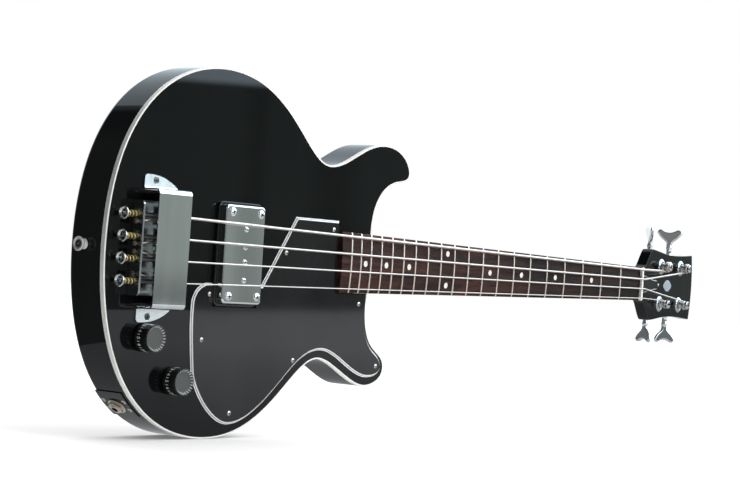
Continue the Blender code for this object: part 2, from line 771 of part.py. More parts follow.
def make_intonation_spring(name, z, look):
    """A coil round the screw, between its head and the wall."""
    start = SCREW_HEAD_X + SCREW_HEAD_LENGTH + 1.0
    end = BRIDGE_BACK - 1.0
    steps = SPRING_TURNS * 6
    path = []
    for i in range(steps + 1):
        share = i / steps
        angle = math.tau * SPRING_TURNS * share
        path.append(
            (
                start + (end - start) * share,
                FACE - SCREW_HEIGHT + SPRING_RADIUS * math.cos(angle),
                z + SPRING_RADIUS * math.sin(angle),
            )
        )
    return finish(swept(path, SPRING_WIRE_RADIUS, 4), f"intonation_spring_{name}", look)


def tab_outline(side):
    """A foot of the bridge cover: square at the back, and falling away towards the front."""
    inner = COVER_HALF_WIDTH - COVER_SHEET - 0.6
    knots = (
        (COVER_BACK, TAB_EDGE - 3.5, 90, 0, 2, 3),
        (COVER_BACK + 3.5, TAB_EDGE, 0, 2, 14, 6),
        (COVER_FRONT, COVER_HALF_WIDTH + 1.6, -35, 14, 0, 0),
    )
    edge = smooth_path(knots)
    outline = [(COVER_BACK, inner), *edge, (COVER_FRONT, inner)]
    return [(x, side * z) for x, z in outline]


def make_bridge_cover(look):
    """A strip bent down at both ends, over the saddles, with a foot at each side."""
    half = COVER_HALF_WIDTH
    low = GAP
    outer, inner = [], []
    for i in range(5):
        angle = math.pi / 2 * i / 4
        outer.append((half - COVER_BEND + COVER_BEND * math.cos(angle),
                      COVER_HEIGHT - COVER_BEND + COVER_BEND * math.sin(angle)))
        bend = COVER_BEND - COVER_SHEET
        inner.append((half - COVER_BEND + bend * math.cos(angle),
                      COVER_HEIGHT - COVER_BEND + bend * math.sin(angle)))
    right = [(half, low), *outer]
    left = [(-z, height) for z, height in reversed(right)]
    under = [(half - COVER_SHEET, low), *inner]
    section = right + left + [(-z, height) for z, height in under] + list(reversed(under))
    loops = [[(x, FACE - height, z) for z, height in section] for x in (COVER_BACK, COVER_FRONT)]
    cover = finish(loft(loops), "bridge_cover", look)
    for side in (-1, 1):
        foot = prism(tab_outline(side), FACE - GAP - COVER_SHEET, FACE - GAP)
        combine(cover, finish(foot, f"tool_cover_foot_{side + 1}", None), "UNION")
    return cover


def string_path(radius, side, half_gaps, post, saddle_x, neck_frame, head_frame):
    """From the ball behind the wall, over the saddle and the nut, to the string's post."""
    bridge_z = string_z(half_gaps, side, False)
    nut_z = string_z(half_gaps, side, True)
    anchor_z = bridge_z - side * ANCHOR_OFFSET
    anchor_y = FACE - SCREW_HEIGHT
    nut = Vector((SCALE_LENGTH + 2.0, NUT_TOP - radius - GAP, nut_z)) * MM
    post_z = side * (POST_Z - POST_RADIUS - radius)
    end = Vector((POSTS_X[post], -6.5, post_z)) * MM
    near_z = nut_z + (post_z - nut_z) * 0.06
    past_nut = Vector((SCALE_LENGTH + NUT_THICKNESS + 3, NUT_TOP - radius - GAP + 0.5, near_z)) * MM
    return [
        (BRIDGE_BACK - BALL_RADIUS - GAP, anchor_y, anchor_z),
        (BRIDGE_BACK + WALL_THICKNESS + 1.5, anchor_y, anchor_z),
        (saddle_x - 3.8, FACE - STRING_ABOVE_FACE, bridge_z - side * 0.3),
        (saddle_x + 1.5, FACE - STRING_ABOVE_FACE, bridge_z),
        neck_frame.matrix_world @ nut / MM,
        neck_frame.matrix_world @ past_nut / MM,
        head_frame.matrix_world @ end / MM,
    ]


def make_string(name, path, radius, look):
    """One string, with its ball end behind the bridge wall."""
    string = finish(swept(path, radius, 8), f"string_{name}", look)
    profile = ((1.5, -2.4), (BALL_RADIUS, -1.2), (BALL_RADIUS, 1.2), (1.5, 2.4))
    ball = turned(profile, path[0], (0, 0, 1), 10)
    combine(string, finish(ball, f"tool_ball_{name}", None), "UNION")
    return string


# ---------------------------------------------------------------- pickup


def make_pickup(looks):
    corner = PICKUP_CORNER
    z = PICKUP_HALF_WIDTH
    top = FACE - PICKUP_HEIGHT
    bottom = FACE + PICKUP_DEPTH
    outer = rounded_rectangle(PICKUP_BACK, PICKUP_FRONT, -z, z, corner)
    crown = offset_outline(outer, -0.9)
    loops = [[(x, y, pz) for x, pz in outline] for y, outline in (
        (top, crown), (top + 0.9, outer), (bottom, outer))]
    cover = finish(loft(loops), "pickup_cover", looks["chrome"])
    hollow = prism(offset_outline(outer, -1.0), top + 1.0, bottom + 2)
    combine(cover, finish(hollow, "cut_pickup_cover", None), "DIFFERENCE")

    edge = rounded_rectangle(
        PICKUP_BACK - RING_MARGIN, PICKUP_FRONT + RING_MARGIN, -z - RING_MARGIN, z + RING_MARGIN, 5.5
    )
    rim = offset_outline(edge, -0.8)
    inside = offset_outline(outer, GAP)
    ring_loops = (
        (FACE - GAP, edge),
        (FACE - RING_HEIGHT + 0.8, edge),
        (FACE - RING_HEIGHT, rim),
        (FACE - RING_HEIGHT, inside),
        (FACE - GAP, inside),
    )
    loops = [[(x, y, pz) for x, pz in outline] for y, outline in ring_loops]
    finish(loft(loops, closed=True), "pickup_ring", looks["plastic"])

    block = rounded_rectangle(PICKUP_BACK + 6, PICKUP_FRONT - 6, -z + 6, z - 6, 6)
    finish(prism(block, top + 2.0, top + 12.0), "pickup_coil", looks["copper"])
    magnet = box((PICKUP_BACK + 14, top + 12.4, -z + 10), (PICKUP_FRONT - 14, bottom - 1, z - 10))
    finish(magnet, "pickup_magnet", looks["nickel"], smooth=False)


# ---------------------------------------------------------------- controls and fittings


def make_control(name, x, z, looks):
    """A knob on its shaft, and the potentiometer below the top."""
    axis = (0, -1, 0)
    base = (x, FACE, z)
    origin = (x, FACE - KNOB_HEIGHT / 2, z)
    profile = (
        (KNOB_BASE_RADIUS, 1.2),
        (KNOB_BASE_RADIUS, 3.0),
        (KNOB_TOP_RADIUS + 0.2, KNOB_HEIGHT - 2),
        (KNOB_TOP_RADIUS - 0.6, KNOB_HEIGHT),
    )
    shape = turned(profile, base, axis, 24)
    knob = finish(shape, f"{name}_knob", looks["plastic"], origin=origin)
    bore = turned(((SHAFT_RADIUS + 0.08, -1), (SHAFT_RADIUS + 0.08, 13)), base, axis, 12)
    combine(knob, finish(bore, f"cut_{name}_knob", None), "DIFFERENCE")
    shaft = turned(((SHAFT_RADIUS, -12), (SHAFT_RADIUS, 12.4)), base, axis, 12)
    finish(shaft, f"{name}_shaft", looks["nickel"], origin=origin)
    cavity_top = -TOP_WOOD - GAP
    bore_radius = SHAFT_RADIUS + 0.08
    profile = (
        (bore_radius, 0.9),
        (3.9, 0.9),
        (3.9, cavity_top),
        (POT_RADIUS, cavity_top),
        (POT_RADIUS, cavity_top - 9),
        (bore_radius, cavity_top - 9),
    )
    pot = turned(profile, base, axis, 16, bore=True)
    finish(pot, f"{name}_pot", looks["nickel"])


def make_jack(looks):
    """A plate bent round the rim and the socket through it."""
    outward, middle = jack_place()
    outline = body_outline(BINDING_WIDTH)
    here = Vector((middle.x, middle.z))
    near = [i for i, p in enumerate(outline) if (Vector(p) - here).length < JACK_PLATE_HALF]
    span = range(min(near), max(near) + 1)
    inner = [offset_outline(outline, GAP)[i] for i in span]
    outer = [offset_outline(outline, GAP + JACK_PLATE_SHEET)[i] for i in span]
    half = 16.0
    sheet = prism(inner + outer[::-1], middle.y - half, middle.y + half)
    plate = finish(sheet, "jack_plate", looks["plastic"])
    hole = turned(((5.2, -6), (5.2, 8)), middle, outward, 16)
    combine(plate, finish(hole, "cut_jack_plate", None), "DIFFERENCE")
    rest = GAP + JACK_PLATE_SHEET + 0.5
    profile = (
        (JACK_BORE, 4.2 + rest),
        (JACK_THREAD, 4.2 + rest),
        (JACK_THREAD, 2.6 + rest),
        (7.4, 2.6 + rest),
        (7.4, rest),
        (JACK_THREAD, rest),
        (JACK_THREAD, -1.6),
        (8.0, -1.6),
        (8.0, -20),
        (JACK_BORE, -20),
    )
    socket = turned(profile, middle, outward, 16, bore=True)
    finish(socket, "jack_socket", looks["chrome"])


def make_strap_button(name, foot, outward, look):
    """Turned about its screw: a foot, a waist for the strap and a wide head."""
    profile = (
        (BUTTON_FOOT_RADIUS, GAP),
        (BUTTON_FOOT_RADIUS - 0.3, 1.2),
        (BUTTON_WAIST_RADIUS, 2.6),
        (BUTTON_WAIST_RADIUS + 0.2, 4.4),
        (BUTTON_HEAD_RADIUS, BUTTON_LENGTH - 1.8),
        (BUTTON_HEAD_RADIUS, BUTTON_LENGTH - 1.0),
        (BUTTON_HEAD_RADIUS - 1.1, BUTTON_LENGTH),
    )
    return finish(turned(profile, foot, outward, 16), f"strap_button_{name}", look)


def make_control_cover(look):
    plate = prism(cavity_outline(COVER_LIP), -BACK_PLATE - GAP, -GAP)
    return finish(plate, "control_cover", look)


# ---------------------------------------------------------------- assembly


def make_frames():
    """The neck is tilted back from the body, and the headstock from the neck."""
    neck = bpy.data.objects.new("neck_frame", None)
    rise = FRETBOARD_ABOVE_FACE + FRETBOARD_END * math.tan(NECK_ANGLE)
    neck.location = Vector((0, FACE - rise, 0)) * MM
    neck.rotation_euler.z = NECK_ANGLE
    head = bpy.data.objects.new("head_frame", None)
    head.parent = neck
    head.location = Vector((SCALE_LENGTH + NUT_THICKNESS, HEAD_DROP, 0)) * MM
    head.rotation_euler.z = HEAD_ANGLE
    for frame in (neck, head):
        bpy.context.scene.collection.objects.link(frame)
    bpy.context.view_layer.update()
    return neck, head


def main():
    for obj in list(bpy.data.objects):
        bpy.data.objects.remove(obj)
    looks = make_looks()
    neck_frame, head_frame = make_frames()

    neck_pocket = make_neck_pocket(neck_frame)
    make_body(looks["lacquer"], neck_pocket)
    make_binding(looks["binding"], neck_pocket)
    make_pickguard(looks["guard"])
    make_control_cover(looks["plastic"])
    make_neck_plate(looks["chrome"])

    make_neck(looks["lacquer"], neck_frame, head_frame)
    make_fretboard(looks["rosewood"], neck_frame)
    make_nut(looks["bone"], neck_frame)
    make_truss_rod(looks["nickel"], neck_frame)
    make_truss_rod_cover(looks["plastic"], head_frame)

    make_bridge_plate(looks["chrome"])
    make_bridge_cover(looks["chrome"])
    make_pickup(looks)

    for name, radius, side, half_gaps, post, saddle_x, turn in STRINGS:
        z = string_z(half_gaps, side, False)
        make_saddle(name, saddle_x, z, radius, looks["chrome"])
        make_intonation_screw(name, z, looks["nickel"])
        make_intonation_spring(name, z, looks["brass"])
        path = string_path(radius, side, half_gaps, post, saddle_x, neck_frame, head_frame)
        make_string(name, path, radius, looks["steel"])
        post_x = POSTS_X[post]
        post_z = side * POST_Z
        make_bushing(name, post_x, post_z, looks["chrome"], head_frame)
        make_tuner_plate(name, post_x, post_z, looks["chrome"], head_frame)
        make_tuner_post(name, post_x, post_z, looks["chrome"], head_frame)
        make_tuner_key(name, post_x, post_z, side, turn, looks["chrome"], head_frame)

    for name, x, z in KNOBS:
        make_control(name, x, z, looks)
    make_jack(looks)
    tail = BASS_KNOTS[0][0] - BINDING_WIDTH
    make_strap_button("tail", (tail, FACE + BUTTON_DEPTH, 0), (-1, 0, 0), looks["chrome"])
    make_strap_button("heel", (258, 0, 46), (0, 1, 0), looks["chrome"])


main()
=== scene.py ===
import json
from math import copysign, cos, pi, radians, sin, sqrt, tan, tau

import bmesh
import bpy
from mathutils import Matrix, Vector
from mathutils.geometry import interpolate_bezier

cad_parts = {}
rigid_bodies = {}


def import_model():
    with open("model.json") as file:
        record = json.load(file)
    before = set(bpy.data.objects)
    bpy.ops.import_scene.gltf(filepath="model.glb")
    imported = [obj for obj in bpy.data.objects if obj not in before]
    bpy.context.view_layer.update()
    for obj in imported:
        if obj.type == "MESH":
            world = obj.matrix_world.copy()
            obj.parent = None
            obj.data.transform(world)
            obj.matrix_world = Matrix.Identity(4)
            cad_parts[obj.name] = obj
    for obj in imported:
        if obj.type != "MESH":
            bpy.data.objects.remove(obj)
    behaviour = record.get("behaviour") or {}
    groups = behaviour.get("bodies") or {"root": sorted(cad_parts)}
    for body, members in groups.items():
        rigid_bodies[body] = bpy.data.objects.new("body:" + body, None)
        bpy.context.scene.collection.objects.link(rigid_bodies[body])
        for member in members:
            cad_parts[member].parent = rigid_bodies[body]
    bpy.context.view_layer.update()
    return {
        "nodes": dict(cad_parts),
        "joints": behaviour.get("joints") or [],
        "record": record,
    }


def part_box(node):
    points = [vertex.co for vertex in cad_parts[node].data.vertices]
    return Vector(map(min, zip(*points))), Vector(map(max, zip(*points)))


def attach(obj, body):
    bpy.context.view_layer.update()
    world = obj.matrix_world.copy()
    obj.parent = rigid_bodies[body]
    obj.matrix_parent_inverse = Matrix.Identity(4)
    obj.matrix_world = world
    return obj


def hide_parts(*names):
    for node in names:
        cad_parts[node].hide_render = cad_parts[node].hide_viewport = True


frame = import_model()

# The looks of a short-scale electric bass guitar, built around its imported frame. Shapes are
# drawn in millimetres in the frame's axes: X along the strings, -Y out of the face, +Z to the
# bass side. new_object() turns them into metres.

MM = 0.001
ROOT = "instrument"
LOOKS = {}  # materials by their short names, filled by make_looks()
# A screw's second material is painted shade in its cross recess
NICKEL_SCREW = ("nickel", "shadow")
CHROME_SCREW = ("chrome", "shadow")
DULL_SCREW = ("thread", "shadow")


def low_high(node):
    """A CAD node's lowest and highest corners, in millimetres."""
    low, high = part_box(node)
    return low / MM, high / MM


def joint_point(name):
    return Vector(next(j["pos_m"] for j in frame["joints"] if j["name"] == name)) / MM


def on_head(joint):
    """A joint's place in the headstock's own axes."""
    return HEAD.inverted() @ joint_point(joint)


# ---------------------------------------------------------------- sizes

GAP = 0.3  # between neighbouring pieces
FACE = low_high("body")[0].y
TAIL = low_high("body")[0].x
BACK_ROUND = 6.0
PICKUP_CAVITY_FLOOR = FACE + 20
CONTROL_CAVITY_FLOOR = FACE + 6.5
COVER_RECESS = 2.4
BINDING_WIDTH = 1.5
BINDING_DEPTH = low_high("binding")[1].y - FACE
SCALE_LENGTH = 774.7
FRET_COUNT = 20
INLAY_FRETS = (3, 5, 7, 9, 12, 15, 17, 19)
FRETBOARD_ABOVE_FACE = 7.0
FRETBOARD_END = 230.3
FRETBOARD_THICKNESS = 6.0
FRETBOARD_RADIUS = 305.0
HALF_WIDTH_AT_NUT = 19.0
HALF_WIDTH_AT_END = 29.1
NECK_TOP = FRETBOARD_THICKNESS + GAP
HEEL_DEPTH = 17.0
HEEL_EDGE = 283.0
NUT_THICKNESS = 5.0
NUT_TOP = -1.9
NECK_ANGLE = radians(1.0)
HEAD_ANGLE = radians(7.0)
HEAD_DROP = 7.0
HEAD_THICKNESS = 13.0
HEAD_END_BULGE = 4.5
RISE = FRETBOARD_ABOVE_FACE + FRETBOARD_END * tan(NECK_ANGLE)
NECK = Matrix.Translation((0, FACE - RISE, 0)) @ Matrix.Rotation(NECK_ANGLE, 4, "Z")
HEAD = (
    NECK
    @ Matrix.Translation((SCALE_LENGTH + NUT_THICKNESS, HEAD_DROP, 0))
    @ Matrix.Rotation(HEAD_ANGLE, 4, "Z")
)
UPSIDE_DOWN = Matrix.Diagonal((1, -1, -1, 1))  # for plates drawn from the back

# name, radius, side, half gaps from the centreline, turn of the key's wing
STRINGS = (
    ("e", 1.33, 1, 3, 37.0),
    ("a", 1.08, 1, 1, 118.0),
    ("d", 0.83, -1, 1, 151.0),
    ("g", 0.57, -1, 3, 58.0),
)
BRIDGE_Z = {name: side * gaps * 9.5 for name, _, side, gaps, _ in STRINGS}
NUT_Z = {name: side * gaps * 5.5 for name, _, side, gaps, _ in STRINGS}
STRING_ABOVE_FACE = 16.6
SCREW_LEVEL = FACE - 8.0
SCREW_PITCH = 0.7
SCREW_TURNS = {"e": 0.5, "a": 1.0, "d": 0.2, "g": 0.8}
ANCHOR_OFFSET = 6.2
BRIDGE_SHEET = 2.0
RAIL_TOP = FACE - 9.0
COVER_HALF_WIDTH = 51.6
COVER_SHEET = 1.2
COVER_BEND = 4.5
POLES_X = 91.0
POLES_Z = (22.8, 6.7, -6.7, -23.1)
BARREL_FOOT = 12.0
BARREL_TOP = 11.65
BARREL_LOW = 4.2
BARREL_LENGTH = 10.2
NUMBER_LEVEL = 6.6
FLUTES = 24
POST_HEIGHT = 13.0
POST_WAIST = 3.7
WORM_Y = HEAD_THICKNESS + 7.8
GEAR_RADIUS = 7.2
GEAR_TEETH = 20
TOOTH_HEIGHT = 0.85
WING_START = 45.0
WING_HALF = 2.5
WING_ROUND = 2.2
WING_CUP = 1.8
WING_REACH = 14.5

# Outlines: (x, z, direction in degrees, handle before, handle after, points to the next knot)
BASS_KNOTS = (
    (-69.5, 0.0, 90, 0, 122, 60),
    (65.0, 163.3, 0, 61, 90, 50),
    (213.0, 88.9, 0, 36, 27, 26),
    (294.0, 115.1, 0, 32, 25, 24),
    (332.0, 91.0, -90, 10, 5, 12),
    (318.0, 83.2, 188, 7, 28, 26),
    (278.2, 30.0, -90, 27, 0, 0),
)
TREBLE_KNOTS = (
    (-69.5, 0.0, -90, 0, 112, 60),
    (65.0, -163.6, 0, 75, 83, 50),
    (212.0, -91.2, 0, 36, 21, 26),
    (284.0, -117.0, 0, 23, 7, 20),
    (309.8, -100.0, 90, 13, 6, 12),
    (301.0, -87.2, 148, 6, 12, 24),
    (277.2, -40.0, 90, 33, 3, 2),
    (277.8, -30.0, 90, 3, 0, 0),
)
GUARD_TOP = -26.5
GUARD_KNOTS = (
    (56.0, GUARD_TOP, 180, 0, 10, 16),
    (36.4, -45.0, -93, 10, 20, 6),
    (41.5, -106.0, -82, 20, 14, 22),
    (92.0, -152.8, 0, 24, 28, 24),
    (171.0, -104.8, 42, 30, 14, 18),
    (214.0, -84.4, 0, 18, 22, 20),
    (284.0, -109.6, 0, 23, 8, 14),
    (306.0, -100.0, 70, 9, 3, 8),
    (298.0, -87.6, 146, 5, 10, 18),
    (276.4, -46.0, 90, 30, 0, 0),
)
HEAD_KNOTS = (
    (-4.0, 18.6, 0, 0, 8, 6),
    (22.0, 21.5, 45, 8, 6, 10),
    (37.0, 39.6, 40, 7, 3, 10),
    (44.0, 41.5, -5, 4, 24, 16),
    (103.0, 36.6, 0, 24, 20, 16),
    (158.0, 39.0, 4, 16, 0, 0),
)
TRUSS_COVER_KNOTS = (
    (0.6, 10.5, 0, 0, 8, 8),
    (22.0, 9.5, -10, 8, 10, 12),
    (50.0, 5.5, -2, 12, 5, 12),
    (60.0, 0.0, -90, 5, 0, 0),
)
WING_KNOTS = (
    (0.0, 3.2, 5, 0, 4, 8),
    (9.0, 5.4, 48, 4, 4, 8),
    (16.0, 13.0, 35, 4, 3, 8),
    (21.0, 14.6, -20, 2.2, 2.0, 8),
    (23.8, 10.6, -85, 2.6, 3, 8),
    (20.6, 0.0, -90, 6, 0, 0),
)


# ---------------------------------------------------------------- drawing


def new_object(bm, name, place=None):
    """Turns a bmesh in millimetres into an object in metres."""
    bmesh.ops.recalc_face_normals(bm, faces=bm.faces)
    move = Matrix.Diagonal((MM, MM, MM, 1)) @ (place or Matrix())
    bmesh.ops.transform(bm, matrix=move, verts=bm.verts)
    mesh = bpy.data.meshes.new(name)
    bm.to_mesh(mesh)
    bm.free()
    return link_object(bpy.data.objects.new(name, mesh))


def link_object(obj):
    bpy.context.scene.collection.objects.link(obj)
    return obj


def smoothen(obj, angle):
    obj.data.shade_smooth()
    obj.data.set_sharp_from_angle(angle=radians(angle))
    return obj


def finish(bm, name, look, body=ROOT, node="", place=None, smooth=35):
    """A piece that rides on a body, and stands in for a CAD node where one is named."""
    obj = smoothen(new_object(bm, name, place), smooth)
    for one in look if isinstance(look, tuple) else (look,):
        obj.data.materials.append(LOOKS[one])
    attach(obj, body)
    if node:
        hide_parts(node)
    return obj


def tool(bm, place=None):
    """A mesh for a Boolean, which combine() removes."""
    return new_object(bm, "tool", place)


def combine(target, tools, operation="DIFFERENCE", smooth=35):
    for one in tools:
        modifier = target.modifiers.new("boolean", "BOOLEAN")
        modifier.operation = operation
        modifier.solver = "EXACT"
        modifier.object = one
    mesh = evaluated_mesh(target)
    mesh.name = target.data.name
    target.modifiers.clear()
    target.data = mesh
    for one in tools:
        bpy.data.objects.remove(one)
    return smoothen(target, smooth)


def evaluated_mesh(obj):
    bpy.context.view_layer.update()
    return bpy.data.meshes.new_from_object(obj.evaluated_get(bpy.context.evaluated_depsgraph_get()))


def soften(obj, width, segments=3):
    bevel = obj.modifiers.new("edges", "BEVEL")
    bevel.width = width * MM
    bevel.segments = segments
    bevel.limit_method = "ANGLE"
    bevel.angle_limit = radians(40)
    bevel.harden_normals = True


def loft(loops, closed=False):
    """Skins loops of equal length. An open loft gets end caps, and a closed one is a ring."""
    bm = bmesh.new()
    add_loft(bm, loops, closed)
    return bm


def add_loft(bm, loops, closed=False, slots=None):
    """Adds a loft to bm. slots gives a material index for each band between two loops."""
    rows = [[bm.verts.new(point) for point in loop] for loop in loops]
    count = len(rows[0])
    pairs = list(zip(rows, rows[1:]))
    if closed:
        pairs.append((rows[-1], rows[0]))
    for band, (low, high) in enumerate(pairs):
        for i in range(count):
            j = (i + 1) % count
            face = bm.faces.new((low[i], low[j], high[j], high[i]))
            face.material_index = slots[band] if slots else 0
    if not closed:
        bm.faces.new(rows[0])
        bm.faces.new(rows[-1]).material_index = slots[-1] if slots else 0


def stack(levels):
    """Loops from levels of (y, outline)."""
    return [[(x, y, z) for x, z in outline] for y, outline in levels]


def prism(outline, low, high):
    return loft(stack(((low, outline), (high, outline))))


def along_z(section, ends):
    """A prism along Z, from a section of (x, y)."""
    return loft([[(x, y, z) for x, y in section] for z in ends])


def along_x(section, ends):
    """A prism along X, from a section of (z, y)."""
    return loft([[(x, y, z) for z, y in section] for x in ends])


def box(low, high):
    corners = ((low[0], low[2]), (high[0], low[2]), (high[0], high[2]), (low[0], high[2]))
    return prism(corners, low[1], high[1])


def quarter(steps):
    return [pi / 2 * i / steps for i in range(steps + 1)]


def full_turn(count):
    return [tau * i / count for i in range(count)]


def circle(radius, count, turn=0.0):
    return [(radius * cos(a + turn), radius * sin(a + turn)) for a in full_turn(count)]


def mirrored(upper):
    """Closes an outline whose upper half is given, and turns it anticlockwise."""
    lower = [(x, -z) for x, z in reversed(upper) if z]
    return (upper + lower)[::-1]


def rounded_prism(outline, low, high, radius, steps=4):
    """A prism along Y whose edge at low is rounded."""
    levels = []
    for angle in quarter(steps):
        levels.append((low + radius * (1 - cos(angle)), grown(outline, -radius * (1 - sin(angle)))))
    return loft(stack([*levels, (high, outline)]))


def rings(profile, centre, axis, segments):
    """Loops of a turned shape, from a profile of (radius, distance along the axis)."""
    along = Vector(axis).normalized()
    side = along.orthogonal().normalized()
    other = along.cross(side)
    loops = []
    for radius, distance in profile:
        middle = Vector(centre) + along * distance
        loops.append([middle + radius * (cos(a) * side + sin(a) * other) for a in full_turn(segments)])
    return loops


def turned(profile, centre, axis, segments=40, bore=False):
    return loft(rings(profile, centre, axis, segments), closed=bore)


def drill(radius, start, end, centre, axis, sides=24, place=None):
    """A round tool, from start to end along the axis through centre."""
    return tool(turned(((radius, start), (radius, end)), centre, axis, sides), place)


def swept(path, radius, sides=12):
    """A round bar along a path."""
    points = [Vector(point) for point in path]
    side = (points[1] - points[0]).orthogonal().normalized()
    loops = []
    for i, point in enumerate(points):
        ahead = points[min(i + 1, len(points) - 1)] - points[max(i - 1, 0)]
        ahead.normalize()
        side = (side - ahead * side.dot(ahead)).normalized()
        other = ahead.cross(side)
        loops.append([point + radius * (cos(a) * side + sin(a) * other) for a in full_turn(sides)])
    return loft(loops)


def smooth_path(knots):
    """Points along cubic curves through knots."""
    points = []
    for (x, z, leave, _, reach, count), after in zip(knots, knots[1:]):
        start, end = Vector((x, z, 0)), Vector((after[0], after[1], 0))
        leave, arrive = radians(leave), radians(after[2])
        handle = start + reach * Vector((cos(leave), sin(leave), 0))
        other = end - after[3] * Vector((cos(arrive), sin(arrive), 0))
        points += [(p.x, p.y) for p in interpolate_bezier(start, handle, other, end, count + 1)[:-1]]
    return points + [(knots[-1][0], knots[-1][1])]


def grown(outline, offset):
    """Moves an anticlockwise outline outwards, with mitred corners."""
    moved = []
    for i, (x, z) in enumerate(outline):
        here = Vector((x, z))
        before = (here - Vector(outline[i - 1])).normalized()
        after = (Vector(outline[(i + 1) % len(outline)]) - here).normalized()
        first = Vector((before.y, -before.x))
        middle = (first + Vector((after.y, -after.x))).normalized()
        reach = offset / max(middle.dot(first), 0.4)
        moved.append((x + reach * middle.x, z + reach * middle.y))
    return moved


def rounded_rectangle(low_x, high_x, low_z, high_z, radius, steps=8):
    corners = (
        (high_x - radius, high_z - radius),
        (low_x + radius, high_z - radius),
        (low_x + radius, low_z + radius),
        (high_x - radius, low_z + radius),
    )
    points = []
    for i, (x, z) in enumerate(corners):
        for angle in quarter(steps):
            turn = angle + i * pi / 2
            points.append((x + radius * cos(turn), z + radius * sin(turn)))
    return points


def body_outline(offset):
    return grown(smooth_path(TREBLE_KNOTS) + smooth_path(BASS_KNOTS)[:0:-1], offset)


def neck_half_width(x):
    share = (SCALE_LENGTH - x) / (SCALE_LENGTH - FRETBOARD_END)
    return HALF_WIDTH_AT_NUT + share * (HALF_WIDTH_AT_END - HALF_WIDTH_AT_NUT)


def camber(z):
    return FRETBOARD_RADIUS - sqrt(FRETBOARD_RADIUS**2 - z * z)


def fret_position(number):
    return SCALE_LENGTH * 2 ** (-number / 12)


# ---------------------------------------------------------------- materials


class Shading:
    """A short way to write the nodes of a material or a world."""

    def __init__(self, owner):
        owner.use_nodes = True
        self.tree = owner.node_tree

    def feed(self, value, target):
        """Links a socket to the target, or sets the target's value."""
        if isinstance(value, bpy.types.NodeSocket):
            self.tree.links.new(value, target)
        else:
            target.default_value = (*value, 1) if target.type == "RGBA" else value

    def new(self, kind, inputs, **settings):
        node = self.tree.nodes.new("ShaderNode" + kind)
        for key, value in settings.items():
            setattr(node, key, value)
        for key, value in inputs.items():
            self.feed(value, node.inputs[key])
        return node

    def spread(self, value, start, end, low=0.0, high=1.0, kind="LINEAR"):
        """Takes low to start and high to end."""
        ends = {"Value": value, "From Min": low, "From Max": high, "To Min": start, "To Max": end}
        return self.new("MapRange", ends, interpolation_type=kind).outputs["Result"]

    def step(self, value, low, high, start=0.0, end=1.0):
        return self.spread(value, start, end, low, high, "SMOOTHSTEP")

    def times(self, a, b):
        return self.new("Math", {0: a, 1: b}, operation="MULTIPLY").outputs["Value"]

    def blend(self, amount, none, full, kind="MIX"):
        # 0, 6 and 7 are the factor and the two colours of a colour mix
        mix = self.new("Mix", {}, data_type="RGBA", blend_type=kind)
        for key, value in ((0, amount), (6, none), (7, full)):
            self.feed(value, mix.inputs[key])
        return mix.outputs[2]


class Look(Shading):
    """A material, with its textures placed in the frame."""

    def __init__(self, name, slot, **values):
        self.material = bpy.data.materials.new(name)
        super().__init__(self.material)
        self.material["slot"] = slot
        self.inputs = self.tree.nodes["Principled BSDF"].inputs
        self.place = self.new("TexCoord", {}).outputs["Object"]
        for key, value in values.items():
            self.inputs[key.replace("_", " ")].default_value = value

    def noise(self, scale, detail=3.0, rough=0.5, stretch=(1, 1, 1)):
        mapping = self.new("Mapping", {"Scale": stretch, "Vector": self.place})
        inputs = {"Scale": scale, "Detail": detail, "Roughness": rough, "Vector": mapping.outputs["Vector"]}
        return self.new("TexNoise", inputs).outputs["Fac"]

    def ramp(self, factor, *stops):
        node = self.new("ValToRGB", {"Fac": factor})
        elements = node.color_ramp.elements
        while len(elements) < len(stops):
            elements.new(0.5)
        for element, (position, colour) in zip(elements, stops):
            element.position = position
            element.color = (*colour, 1)
        return node.outputs["Color"]

    def bump(self, factor, distance, strength):
        inputs = {"Distance": distance * MM, "Strength": strength, "Height": factor}
        self.feed(self.new("Bump", inputs).outputs["Normal"], self.inputs["Normal"])

    def colour(self, output):
        self.feed(output, self.inputs["Base Color"])

    def roughness(self, factor, low, high):
        self.feed(self.spread(factor, low, high), self.inputs["Roughness"])


def make_lacquer():
    """Deep black gloss with the faintest waviness and dust in its shine."""
    n = Look("black_lacquer", "lacquer", IOR=1.37)
    n.colour(n.ramp(n.noise(9, 2), (0.3, (0.0025, 0.003, 0.0032)), (0.7, (0.004, 0.0045, 0.0047))))
    n.roughness(n.noise(260, 4, 0.6), 0.0, 0.03)
    n.bump(n.noise(28, 1), 0.008, 0.3)
    return n.material


def make_binding_look():
    n = Look("ivory_binding", "binding", Subsurface_Weight=0.05)
    n.colour(n.ramp(n.noise(40, 3), (0.3, (0.76, 0.745, 0.71)), (0.7, (0.84, 0.83, 0.80))))
    n.roughness(n.noise(180, 3), 0.18, 0.34)
    n.bump(n.noise(300, 2), 0.02, 0.3)
    return n.material


